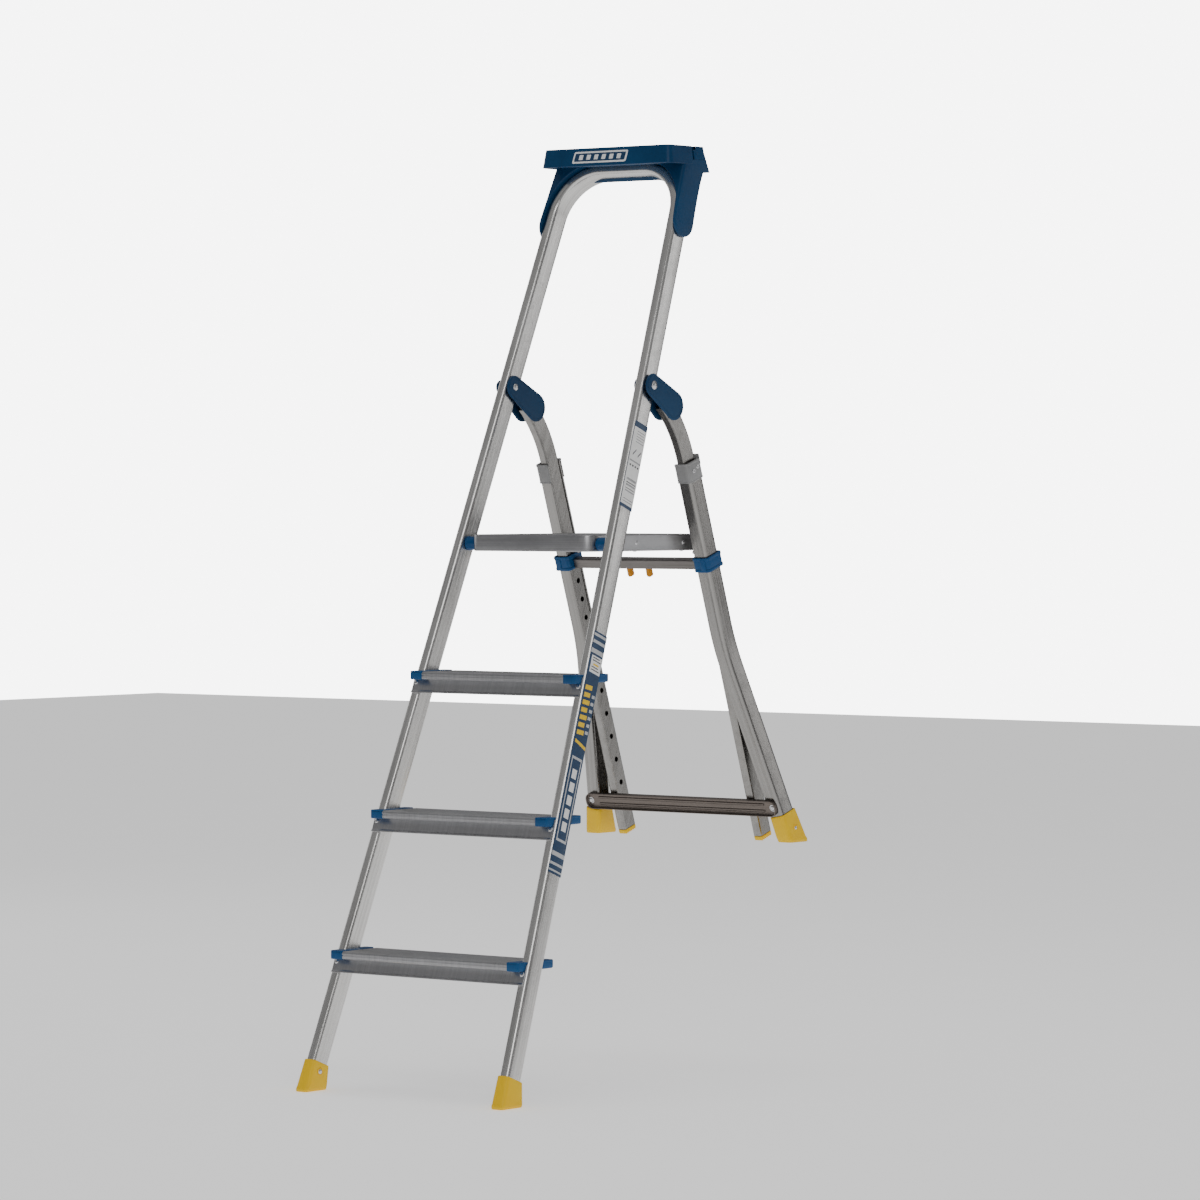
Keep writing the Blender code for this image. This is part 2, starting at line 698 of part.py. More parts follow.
def make_platform(platform, front):
    """The platform pan, open below, and the bushes that it turns on."""
    low = PLATFORM_TOP - RIM_HEIGHT
    deck = platform.add(
        "platform_deck", extruded(WORLD, "across", deck_outline(0), low, PLATFORM_TOP), "tread_aluminium"
    )
    pan = extruded(WORLD, "across", deck_outline(DECK_SHEET), low - 0.01, PLATFORM_TOP - DECK_SHEET)
    platform.change(deck, pan)
    rim = deck_half_width()
    for side, word in ((1, "right"), (-1, "left")):
        hole = circle(BUSH_SHAFT + GAP, (PIVOT.y, PIVOT.z))
        platform.change(deck, extruded(WORLD, "x", hole, rim - 0.01, rim + 0.01), side)
        flange = rim + 0.0006
        wall = half_spacing(PIVOT_Z + BUSH_RADIUS) - STILE_WIDTH / 2 - 2 * GAP
        profile = [
            (rim - 0.006, BUSH_SHAFT),
            (flange, BUSH_SHAFT),
            (flange, BUSH_RADIUS),
            (wall, BUSH_RADIUS),
            (wall, BUSH_SHAFT),
            (wall + 0.006, BUSH_SHAFT),
        ]
        bush = turned(WORLD, "x", (PIVOT.y, PIVOT.z), profile, 20)
        front.add(f"platform_bush_{word}", bush, "blue_plastic", side)


# ------------------------------------------------------------------ hinge and inner legs

def inner_leg_rings(half_width, half_depth, corner, end, steps=10):
    """Rings of the inner leg from its lower end to its bent top."""
    section = rounded((-half_width, -half_depth), (half_width, half_depth), corner, 2)
    places = [(end, 0.0, 0.0)]
    for i in range(steps + 1):
        angle = LEG_BEND * i / steps
        along = LEG_BEND_START - LEG_BEND_RADIUS * math.sin(angle)
        across = -LEG_BEND_RADIUS * (1 - math.cos(angle))
        places.append((along, across, angle))
    rings = []
    for along, across, angle in places:
        ring = []
        for a, b in section:
            ring.append(LEG.at(LEG_X + a, along - b * math.sin(angle), across + b * math.cos(angle)))
        rings.append(ring)
    return rings


def hole_places():
    """Places of the lock holes along the leg, top hole first."""
    places = [LATCH_S + UPPER_PITCH * i for i in range(UPPER_HOLES + 1)]
    return places + [places[-1] + LOWER_PITCH * (i + 1) for i in range(LOWER_HOLES)]


def make_inner_leg(legs, side, word):
    """A perforated leg, its end plug and the pin that the platform rests on."""
    plug = 0.008
    leg = legs.add(
        f"inner_leg_{word}",
        inner_leg_rings(HALF_LEG, HALF_LEG_DEPTH, 0.003, LEG_END - plug - GAP),
        "aluminium",
        side,
        inner_leg_rings(HALF_LEG - LEG_WALL, HALF_LEG_DEPTH - LEG_WALL, 0.0015, LEG_END - plug - GAP),
    )
    through = (LEG_X - LEG_WIDTH, LEG_X - HALF_LEG + 2 * LEG_WALL)
    for place in hole_places():
        legs.change(leg, extruded(LEG, "x", circle(HOLE_RADIUS, (place, 0), 12), *through), side)
    hole = circle(REST_PIN_RADIUS + GAP, (REST_PIN_S, 0), 12)
    legs.change(leg, extruded(LEG, "x", hole, *through), side)
    outer = rounded((LEG_X - HALF_LEG, -HALF_LEG_DEPTH), (LEG_X + HALF_LEG, HALF_LEG_DEPTH), 0.003, 2)
    fit = LEG_WALL + GAP
    half_x, half_q = HALF_LEG - fit, HALF_LEG_DEPTH - fit
    stem = rounded((LEG_X - half_x, -half_q), (LEG_X + half_x, half_q), 0.001, 2)
    rings = [
        [LEG.at(a, LEG_END, b) for a, b in outer],
        [LEG.at(a, LEG_END - plug, b) for a, b in outer],
        [LEG.at(a, LEG_END - plug, b) for a, b in stem],
        [LEG.at(a, LEG_END - 3 * plug, b) for a, b in stem],
    ]
    legs.add(f"leg_plug_{word}", rings, "yellow_plastic", side)
    tip = LEG_X - HALF_LEG - REST_PIN_REACH
    profile = [
        (tip, REST_PIN_RADIUS - 0.0006),
        (tip + 0.0006, REST_PIN_RADIUS),
        (LEG_X - HALF_LEG + LEG_WALL + 0.001, REST_PIN_RADIUS),
    ]
    legs.add(f"rest_pin_{word}", turned(LEG, "x", (REST_PIN_S, 0), profile), "steel", side)


def make_hinge(legs, front, side, word):
    """A bracket whose cheeks straddle the stile, holding the inner leg's top, and its pin."""
    middle = LEG_X + CHEEK_SHIFT
    inner, outer = middle - CHEEK_SPACE / 2, middle + CHEEK_SPACE / 2
    leaf = two_circles(BRACKET_PIN_RADIUS, BRACKET_END, BRACKET_END_RADIUS)
    bracket = legs.add(
        f"hinge_bracket_{word}",
        extruded(BRACKET, "x", leaf, inner - CHEEK, outer + CHEEK),
        "dark_blue_plastic",
        side,
    )
    for turn in (0.0, FOLD / 2, FOLD):
        heading = BRACKET_DROP - LEAN + turn
        depth = STILE_DEPTH / 2 + 0.0015
        ahead, up = (math.cos(heading), math.sin(heading)), (-math.sin(heading), math.cos(heading))
        outline = []
        for a, b in ((-0.05, -0.08), (depth, -0.08), (depth, 0.08), (-0.05, 0.08)):
            outline.append((a * ahead[0] + b * up[0], a * ahead[1] + b * up[1]))
        legs.change(bracket, extruded(BRACKET, "x", outline, inner, outer), side)
    fit = HALF_LEG + GAP
    legs.change(bracket, inner_leg_rings(fit, HALF_LEG_DEPTH + GAP, 0.003, LEG_BEND_START), side)
    hole = circle(PIN_RADIUS + GAP, (HINGE.y, HINGE.z))
    legs.change(bracket, extruded(WORLD, "x", hole, inner - 0.01, outer + 0.01), side)
    low, high = inner - CHEEK - GAP, outer + CHEEK + GAP
    profile = [
        (low - PIN_HEAD, PIN_HEAD_RADIUS * 0.6),
        (low - PIN_HEAD * 0.5, PIN_HEAD_RADIUS),
        (low, PIN_HEAD_RADIUS),
        (low, PIN_RADIUS),
        (high, PIN_RADIUS),
        (high, PIN_HEAD_RADIUS),
        (high + PIN_HEAD * 0.5, PIN_HEAD_RADIUS),
        (high + PIN_HEAD, PIN_HEAD_RADIUS * 0.6),
    ]
    front.add(f"hinge_pin_{word}", turned(WORLD, "x", (HINGE.y, HINGE.z), profile), "steel", side)


# ------------------------------------------------------------------ outer legs

def splay(place):
    """(outward shift, slope) of the channel at a place along the leg: straight, a smooth bend, straight."""
    run = place - SPLAY_START
    if run <= 0:
        return 0.0, 0.0
    if run < SPLAY_BLEND:
        return SPLAY_SLOPE * run * run / (2 * SPLAY_BLEND), SPLAY_SLOPE * run / SPLAY_BLEND
    return SPLAY_SLOPE * (run - SPLAY_BLEND / 2), SPLAY_SLOPE


def channel_ring(place, outline):
    """An outline square to the channel's centre line at a place along the leg."""
    shift, slope = splay(place)
    tilt = math.atan(slope)
    return [
        LEG.at(CHANNEL_X + shift + a * math.cos(tilt), place - a * math.sin(tilt), b) for a, b in outline
    ]


def make_outer_leg(outer, side, word):
    """A channel, open towards the middle, that bends outwards below, with its boot."""
    x, q, t = CHANNEL_WIDTH / 2, CHANNEL_DEPTH / 2, CHANNEL_WALL
    section = [(-x, -q), (x - t, -q), (x, -q + t), (x, q - t), (x - t, q), (-x, q)]
    section += [(-x, q - t), (x - t, q - t), (x - t, -q + t), (-x, -q + t)]
    end = FOOT_S - 0.010
    places = [CHANNEL_TOP, SPLAY_START]
    places += [SPLAY_START + SPLAY_BLEND * i / 6 for i in range(1, 7)] + [end]
    channel = outer.add(
        f"outer_leg_{word}", [channel_ring(place, section) for place in places], "aluminium", side
    )
    for centre in collar_rivets():
        hole = circle(COLLAR_RIVET + GAP, centre, 12)
        outer.change(channel, extruded(LEG, "x", hole, CHANNEL_OUT - 0.004, CHANNEL_OUT + 0.01), side)
    make_rear_boot(outer, side, word, end)


def make_rear_boot(outer, side, word, end):
    """A boot with a level sole and a top square to the channel."""
    shift, slope = splay(FOOT_S)
    middle = LEG.at(CHANNEL_X + shift, FOOT_S, 0)
    toe = middle.y - CHANNEL_DEPTH / 2 / LEG_COS - 0.007
    heel = middle.y + CHANNEL_DEPTH / 2 / LEG_COS + 0.009
    half = CHANNEL_WIDTH / 2 + 0.0035
    edge = 0.0015
    sole = rounded((middle.x - half, toe), (middle.x + half, heel), 0.006)
    lower = rounded((middle.x - half + edge, toe + edge), (middle.x + half - edge, heel - edge), 0.0045)
    wall = REAR_BOOT_WALL
    x, q = CHANNEL_WIDTH / 2 + wall, CHANNEL_DEPTH / 2 + wall
    collar = rounded((-x, -q), (x, q), 0.005)
    top = FOOT_S - REAR_BOOT_LENGTH
    rings = [
        [Vector((a, b, REAR_FOOT_Z)) for a, b in lower],
        [Vector((a, b, REAR_FOOT_Z + edge)) for a, b in sole],
        channel_ring(top, collar),
    ]
    boot = outer.add(f"rear_foot_{word}", rings, "yellow_plastic", side)
    x, q = CHANNEL_WIDTH / 2 + GAP, CHANNEL_DEPTH / 2 + GAP
    pocket = box_outline((-x, -q), (x, q))
    outer.change(boot, [channel_ring(end + GAP, pocket), channel_ring(top - 0.02, pocket)], side)


def collar_range():
    """(upper end, lower end) of the guide collar."""
    return CHANNEL_TOP - COLLAR_LID, CHANNEL_TOP - COLLAR_LID + COLLAR_LENGTH


def collar_rivets():
    """Places (along, across) of the guide collar's two rivets."""
    low = collar_range()[0]
    return (low + 0.012, 0.006), (low + 0.016, -0.006)


def make_guide_collar(outer, side, word):
    """A guide collar round the channel's top: a lid that guides the inner leg, open towards the middle."""
    low, high = collar_range()
    x0, x1 = CHANNEL_IN - 0.0005, CHANNEL_OUT + COLLAR_WALL
    q = CHANNEL_DEPTH / 2 + COLLAR_WALL
    outside = rounded((x0, -q), (x1, q), 0.003)
    collar = outer.add(
        f"guide_collar_{word}", extruded(LEG, "along", outside, low, high), "grey_plastic", side
    )
    q = CHANNEL_DEPTH / 2 + GAP
    cavity = box_outline((x0 - 0.01, -q), (CHANNEL_OUT + GAP, q))
    outer.change(collar, extruded(LEG, "along", cavity, CHANNEL_TOP - GAP, high + 0.01), side)
    q = HALF_LEG_DEPTH + RUN
    passage = box_outline((x0 - 0.02, -q), (LEG_X + HALF_LEG + RUN, q))
    outer.change(collar, extruded(LEG, "along", passage, low - 0.01, high + 0.02), side)
    for number, centre in enumerate(collar_rivets()):
        hole = circle(COLLAR_RIVET + GAP, centre, 12)
        outer.change(collar, extruded(LEG, "x", hole, CHANNEL_OUT - 0.004, CHANNEL_OUT + 0.01), side)
        face = CHANNEL_OUT + COLLAR_WALL
        profile = [
            (face + GAP + 0.0014, 0.0016),
            (face + GAP + 0.0007, 0.0031),
            (face + GAP, 0.0034),
            (face + GAP, COLLAR_RIVET),
            (CHANNEL_OUT - CHANNEL_WALL + GAP, COLLAR_RIVET),
        ]
        rivet = turned(LEG, "x", centre, profile, 12)
        outer.add(f"collar_rivet_{number + 1}_{word}", rivet, "steel", side)


def make_clamp_collar(outer, side, word):
    """A closed plastic clamp round channel and leg, drilled for the latch pin."""
    low, high = CLAMP_TOP, CLAMP_TOP + CLAMP_LENGTH
    q = CHANNEL_DEPTH / 2 + CLAMP_WALL
    outline = rounded((CLAMP_IN, -q), (CHANNEL_OUT + CLAMP_WALL, q), 0.006)
    block = extruded(LEG, "along", outline, low, high)
    clamp = outer.add(f"clamp_collar_{word}", block, "blue_plastic", side)
    q = CHANNEL_DEPTH / 2 + GAP
    cavity = box_outline((CHANNEL_IN - 2 * GAP, -q), (CHANNEL_OUT + GAP, q))
    outer.change(clamp, extruded(LEG, "along", cavity, low - 0.01, high + 0.01), side)
    hole = circle(LATCH_RADIUS + RUN, (LATCH_S, 0))
    outer.change(clamp, extruded(LEG, "x", hole, CLAMP_IN - 0.01, CHANNEL_IN + 0.002), side)


def make_crossbar(outer):
    """The box tube between the clamps that houses both latch pins, slotted below for the levers."""
    reach = CLAMP_IN - GAP
    s, q = CROSSBAR_HEIGHT / 2, CROSSBAR_DEPTH / 2
    outline = rounded((LATCH_S - s, -q), (LATCH_S + s, q), 0.002, 2)
    inner_s, inner_q = s - CROSSBAR_WALL, q - CROSSBAR_WALL
    hollow = rounded((LATCH_S - inner_s, -inner_q), (LATCH_S + inner_s, inner_q), 0.001, 2)
    bar = outer.add(
        "crossbar",
        extruded(LEG, "x", outline, -reach, reach),
        "brace_metal",
        inner=extruded(LEG, "x", hollow, -reach, reach),
    )
    low = LEVER_X - LEVER_WIDTH / 2 - 0.0015
    high = LEVER_X + LEVER_WIDTH / 2 + LATCH_TRAVEL + 0.0015
    half = LEVER_DEPTH / 2 + RUN
    for side, word in ((1, "right"), (-1, "left")):
        slot = box_outline((low, LATCH_S + 0.003), (high, LATCH_S + s + 0.01))
        outer.change(bar, extruded(LEG, "across", slot, -half, half), side)
        stop_s, stop_q = inner_s - GAP, inner_q - GAP
        stop = rounded((LATCH_S - stop_s, -stop_q), (LATCH_S + stop_s, stop_q), 0.001, 2)
        block = extruded(LEG, "x", stop, SPRING_START - 0.003, SPRING_START - GAP)
        plate = outer.add(f"spring_stop_{word}", block, "steel", side)
        hole = circle(LATCH_RADIUS + RUN, (LATCH_S, 0))
        outer.change(plate, extruded(LEG, "x", hole, SPRING_START - 0.01, SPRING_START + 0.01), side)
        outer.add(f"latch_spring_{word}", spring_rings(), "steel", side)


def spring_rings(per_turn=12, sides=6):
    """Rings of round wire along a helix about the latch pin."""
    rings = []
    count = SPRING_TURNS * per_turn
    first, length = SPRING_START + SPRING_WIRE, SPRING_LENGTH - 2 * SPRING_WIRE
    for i in range(count + 1):
        turn = 2 * math.pi * i / per_turn
        x = first + length * i / count
        ring = []
        for j in range(sides):
            angle = 2 * math.pi * j / sides
            radius = SPRING_RADIUS + SPRING_WIRE * math.cos(angle)
            place = x + SPRING_WIRE * math.sin(angle)
            ring.append(LEG.at(place, LATCH_S + radius * math.cos(turn), radius * math.sin(turn)))
        rings.append(ring)
    return rings


def make_latch(latch, side, word):
    """A latch pin with its shoulder, and the finger lever on its inner end."""
    shoulder = SPRING_START + SPRING_LENGTH + GAP
    tip = LEG_X - HALF_LEG - 0.0007
    profile = [
        (LEVER_X, LATCH_RADIUS),
        (shoulder, LATCH_RADIUS),
        (shoulder, 0.0062),
        (shoulder + 0.002, 0.0062),
        (shoulder + 0.002, LATCH_RADIUS),
        (tip - 0.0015, LATCH_RADIUS),
        (tip, LATCH_RADIUS - 0.001),
    ]
    latch.add(f"latch_pin_{word}", turned(LEG, "x", (LATCH_S, 0), profile), "steel", side)
    low, high = LEVER_X - LEVER_WIDTH / 2, LEVER_X + LEVER_WIDTH / 2
    bottom = LATCH_S + CROSSBAR_HEIGHT / 2 + LEVER_DROP
    outline = [
        (low, LATCH_S - 0.0055),
        (high, LATCH_S - 0.0055),
        (high, LATCH_S + 0.010),
        (high - 0.0035, bottom),
        (low - 0.0005, bottom),
        (low, LATCH_S + 0.010),
    ]
    half = LEVER_DEPTH / 2
    block = extruded(LEG, "across", outline, -half, half)
    lever = latch.add(f"latch_lever_{word}", block, "orange_plastic", side)
    hole = circle(LATCH_RADIUS + GAP, (LATCH_S, 0))
    latch.change(lever, extruded(LEG, "x", hole, LEVER_X - GAP, high + 0.01), side)


def make_brace(outer):
    """The lower brace: a shallow pan with round ends across the front of both channels, and its rivets."""
    place = FOOT_S - BRACE_ABOVE_FOOT
    x = CHANNEL_X + splay(place)[0]
    reach, half = x + BRACE_REACH, BRACE_HEIGHT / 2
    back = -CHANNEL_DEPTH / 2 - GAP
    outline = rounded((-reach, place - half), (reach, place + half), 0.011)
    brace = outer.add("rear_brace", extruded(LEG, "across", outline, back - BRACE_DEPTH, back), "brace_metal")
    t = BRACE_SHEET
    pan = rounded((-reach + t, place - half + t), (reach - t, place + half - t), 0.009)
    outer.change(brace, extruded(LEG, "across", pan, back - BRACE_DEPTH - 0.01, back - t))
    for side, word in ((1, "right"), (-1, "left")):
        hole = circle(RIVET_RADIUS + GAP, (x, place))
        drill = extruded(LEG, "across", hole, back - 0.01, -CHANNEL_DEPTH / 2 + 0.004)
        outer.change(brace, drill, side)
        channel = bpy.data.objects[f"outer_leg_{word}"]
        outer.change(channel, drill, side)
        rivet = turned(LEG, "across", (x, place), rivet_profile(back - t, 1, t + CHANNEL_WALL + 0.002))
        outer.add(f"brace_rivet_{word}", rivet, "steel", side)


# ------------------------------------------------------------------ the ladder

REAR_HEEL_Y = LEG.at(0, FOOT_S, 0).y + CHANNEL_DEPTH / 2 / LEG_COS + 0.009
DEPTH_CENTRE = (REAR_HEEL_Y - BOOT_TOE) / 2

for old in list(bpy.data.objects):
    bpy.data.objects.remove(old, do_unlink=True)

FRONT = Body("front_body", (0, 0, 0))
PLATFORM = Body("platform_body", PIVOT, FRONT)
INNER_LEGS = Body("inner_legs_body", HINGE, FRONT)
OUTER_LEGS = Body("outer_legs_body", HINGE, INNER_LEGS)

make_front_frame(FRONT)
for number in range(1, TREAD_COUNT + 1):
    make_tread(FRONT, number)
make_tray(FRONT)
make_platform(PLATFORM, FRONT)
for SIDE, WORD in ((1, "right"), (-1, "left")):
    make_front_boot(FRONT, SIDE, WORD)
    for number in range(1, TREAD_COUNT + 1):
        make_tread_cap(FRONT, number, SIDE, WORD)
    make_inner_leg(INNER_LEGS, SIDE, WORD)
    make_hinge(INNER_LEGS, FRONT, SIDE, WORD)
    make_outer_leg(OUTER_LEGS, SIDE, WORD)
    make_guide_collar(OUTER_LEGS, SIDE, WORD)
    make_clamp_collar(OUTER_LEGS, SIDE, WORD)
    make_latch(Body(f"latch_body_{WORD}", LEG.at(0, LATCH_S, 0), OUTER_LEGS), SIDE, WORD)
make_crossbar(OUTER_LEGS)
make_brace(OUTER_LEGS)
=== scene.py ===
import json
import math

import bpy
import numpy as np
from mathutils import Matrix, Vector


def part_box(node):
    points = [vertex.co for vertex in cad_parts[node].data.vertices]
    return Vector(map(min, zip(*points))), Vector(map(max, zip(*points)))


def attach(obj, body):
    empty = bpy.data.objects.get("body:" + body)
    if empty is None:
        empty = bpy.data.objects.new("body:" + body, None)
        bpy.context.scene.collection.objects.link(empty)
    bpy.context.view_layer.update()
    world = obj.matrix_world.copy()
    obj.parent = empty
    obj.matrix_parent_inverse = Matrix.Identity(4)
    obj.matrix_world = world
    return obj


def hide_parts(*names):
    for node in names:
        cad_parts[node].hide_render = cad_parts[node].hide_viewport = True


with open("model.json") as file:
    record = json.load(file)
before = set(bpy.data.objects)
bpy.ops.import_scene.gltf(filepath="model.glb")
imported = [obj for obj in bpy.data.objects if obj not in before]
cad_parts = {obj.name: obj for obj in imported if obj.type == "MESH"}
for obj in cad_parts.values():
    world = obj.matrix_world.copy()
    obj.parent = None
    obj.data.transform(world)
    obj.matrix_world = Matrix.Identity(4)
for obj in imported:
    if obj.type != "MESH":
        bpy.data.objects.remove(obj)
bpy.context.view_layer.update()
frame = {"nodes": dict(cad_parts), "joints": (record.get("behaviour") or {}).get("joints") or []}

# ------------------------------------------------------------------ places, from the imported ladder

JOINTS = {joint["name"]: joint for joint in frame["joints"]}


def middle(node):
    """Centre of a CAD node's box."""
    low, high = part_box(node)
    return np.array((low + high) / 2)


class Axes:
    """A point and two directions in the side plane; x is always across the ladder."""

    def __init__(self, origin, along, across):
        self.origin = np.array(origin, float)
        self.along = np.array(along, float)
        self.across = np.array(across, float)

    def at(self, x, along, across):
        """origin + x across the ladder + along + across, for whole arrays at once."""
        x, along, across = np.broadcast_arrays(x, along, across)
        ahead = along[..., None] * self.along + across[..., None] * self.across
        return self.origin + x[..., None] * np.array((1.0, 0.0, 0.0)) + ahead


HINGE = np.array(JOINTS["rear_fold"]["pos_m"], float)
PIVOT = np.array(JOINTS["platform_fold"]["pos_m"], float)
UP_STILE = (HINGE - PIVOT) / np.linalg.norm(HINGE - PIVOT)
SIN, COS = UP_STILE[1], UP_STILE[2]
TAN = SIN / COS
STILE_FOOT_Y = HINGE[1] - HINGE[2] * TAN
WORLD = Axes((0, STILE_FOOT_Y, 0), (0, 1, 0), (0, 0, 1))
STILE = Axes((0, STILE_FOOT_Y, 0), (0, SIN, COS), (0, COS, -SIN))
DOWN_LEG = np.array(JOINTS["leg_slide"]["axis"], float)
LEG_ACROSS = np.array((0, -DOWN_LEG[2], DOWN_LEG[1]))
LATCH_CENTRE = middle("latch_pin_right") * (0, 1, 1)
LATCH_S = 0.34048
LEG = Axes(LATCH_CENTRE - LATCH_S * DOWN_LEG, DOWN_LEG, LEG_ACROSS)
BRACKET_DROP = math.radians(30.4)
BRACKET = Axes(
    HINGE,
    (0, math.cos(BRACKET_DROP), -math.sin(BRACKET_DROP)),
    (0, math.sin(BRACKET_DROP), math.cos(BRACKET_DROP)),
)
SIDES = ((1, "right"), (-1, "left"))

FLOOR_HALF_SPACING = 0.2085
TAPER = 0.0523
STILE_HALF_WIDTH = 0.0095
STILE_HALF_DEPTH = 0.0195


def half_spacing(height):
    """Half the distance between the stiles' centre lines at a height."""
    return FLOOR_HALF_SPACING - TAPER * height


def front_plane(height):
    """How far back the stiles' front face is at a height."""
    return height * TAN - STILE_HALF_DEPTH / COS


# ------------------------------------------------------------------ outlines and surfaces

def rounded(low, high, radius, steps=6):
    """Rectangle whose corners are quarter circles: corner centre + radius * (cos, sin)."""
    turn = np.linspace(0, math.pi / 2, steps + 1)
    (x0, y0), (x1, y1) = low, high
    centres = np.array(
        ((x1 - radius, y1 - radius), (x0 + radius, y1 - radius), (x0 + radius, y0 + radius),
         (x1 - radius, y0 + radius))
    )
    angle = turn[None] + np.arange(4)[:, None] * math.pi / 2
    points = centres[:, None] + radius * np.stack((np.cos(angle), np.sin(angle)), -1)
    return points.reshape(-1, 2)


def filleted(corners, radius, steps=5):
    """Polygon whose corners are parabolas, each between points at radius / tan(half the corner's angle)."""
    corners = np.array(corners, float)
    radius = np.broadcast_to(np.array(radius, float), (len(corners),))
    back = np.roll(corners, 1, 0) - corners
    ahead = np.roll(corners, -1, 0) - corners
    back_length = np.linalg.norm(back, axis=1)
    ahead_length = np.linalg.norm(ahead, axis=1)
    back, ahead = back / back_length[:, None], ahead / ahead_length[:, None]
    half = np.arccos(np.clip((back * ahead).sum(1), -0.9999, 0.9999)) / 2
    reach = np.minimum(radius / np.tan(half), np.minimum(back_length, ahead_length) * 0.48)[:, None]
    t = np.linspace(0, 1, steps + 1)[None, :, None]
    first, last = corners + back * reach, corners + ahead * reach
    points = first[:, None] * (1 - t) ** 2 + 2 * corners[:, None] * t * (1 - t) + last[:, None] * t**2
    return points.reshape(-1, 2)


def two_circles(radius, end, end_radius, count=24):
    """Band stretched round a circle at (0, 0) and a circle at end: two arcs and their common tangents."""
    heading = math.atan2(end[1], end[0])
    opening = math.acos((radius - end_radius) / math.hypot(*end))
    near = heading + np.linspace(opening, 2 * math.pi - opening, count)
    far = heading + np.linspace(-opening, opening, count)
    return np.concatenate(
        (
            radius * np.stack((np.cos(near), np.sin(near)), 1),
            np.array(end) + end_radius * np.stack((np.cos(far), np.sin(far)), 1),
        )
    )


def drawn_in(outline, amounts):
    """Outline moved inwards: each point shifts along its edges' summed normals over 1 + their cosine."""
    before, after = np.roll(outline, 1, 0), np.roll(outline, -1, 0)
    one, two = outline - before, after - outline
    one = one / np.maximum(np.linalg.norm(one, axis=1), 1e-9)[:, None]
    two = two / np.maximum(np.linalg.norm(two, axis=1), 1e-9)[:, None]
    mean = (one + two) / np.maximum(1 + (one * two).sum(1), 0.3)[:, None]
    area = (before[:, 0] * outline[:, 1] - before[:, 1] * outline[:, 0]).sum()
    outward = np.stack((mean[:, 1], -mean[:, 0]), 1) * np.sign(area)
    return outline[None] - outward[None] * np.asarray(amounts)[:, None, None]


def block(outline, low, high, edge, place, steps=4):
    """Outline carried from low to high, drawn in at both ends by a quarter circle of radius edge."""
    turn = np.linspace(0, math.pi / 2, steps + 1)
    ins = edge * (1 - np.sin(turn))
    deep = edge * (1 - np.cos(turn))
    rows = drawn_in(np.asarray(outline, float), np.concatenate((ins, ins[::-1])))
    depth = np.concatenate((low + deep, high - deep[::-1]))[:, None]
    return place(rows[..., 0], rows[..., 1], depth)


def along_x(axes):
    """Outline in (along, across), carried along x."""
    return lambda a, b, t: axes.at(t, a, b)


def along_leg(a, b, t):
    """Outline in (x, across), carried down the rear leg."""
    return LEG.at(a, t, b)


def across_leg(a, b, t):
    """Outline in (x, along), carried across the rear leg."""
    return LEG.at(a, b, t)


def upwards(a, b, t):
    """Plan outline, carried upwards."""
    return WORLD.at(a, b, t)


def turned(profile, centre, place, count=36):
    """Circles about centre whose (place on the axis, radius) follows the profile."""
    profile = np.array(profile, float)
    angle = np.linspace(0, 2 * math.pi, count, endpoint=False)[None]
    radius = profile[:, 1][:, None]
    return place(centre[0] + radius * np.cos(angle), centre[1] + radius * np.sin(angle),
                 profile[:, :1] + 0 * angle)


def dome(base, height, radius, into, steps=7):
    """Profile of a domed head: radius * cos(t) at base + height * sin(t), on a shank that goes in by into."""
    t = np.linspace(0, math.pi / 2 * 0.97, steps)
    head = np.stack((base + height * np.sin(t), radius * np.cos(t)), 1)
    shank = np.array(((base - into, radius * 0.55), (base, radius * 0.55), (base, radius * 0.96)))
    return np.concatenate((shank, head))


def band(path, profile, place):
    """Closed profile (outward, up) carried round a closed plan path: path - its inward normal * outward."""
    rows = drawn_in(np.asarray(path, float), -np.array(profile)[:, 0])
    rows = np.moveaxis(rows, 0, 1)
    return place(rows[..., 0], rows[..., 1], np.array(profile)[None, :, 1])


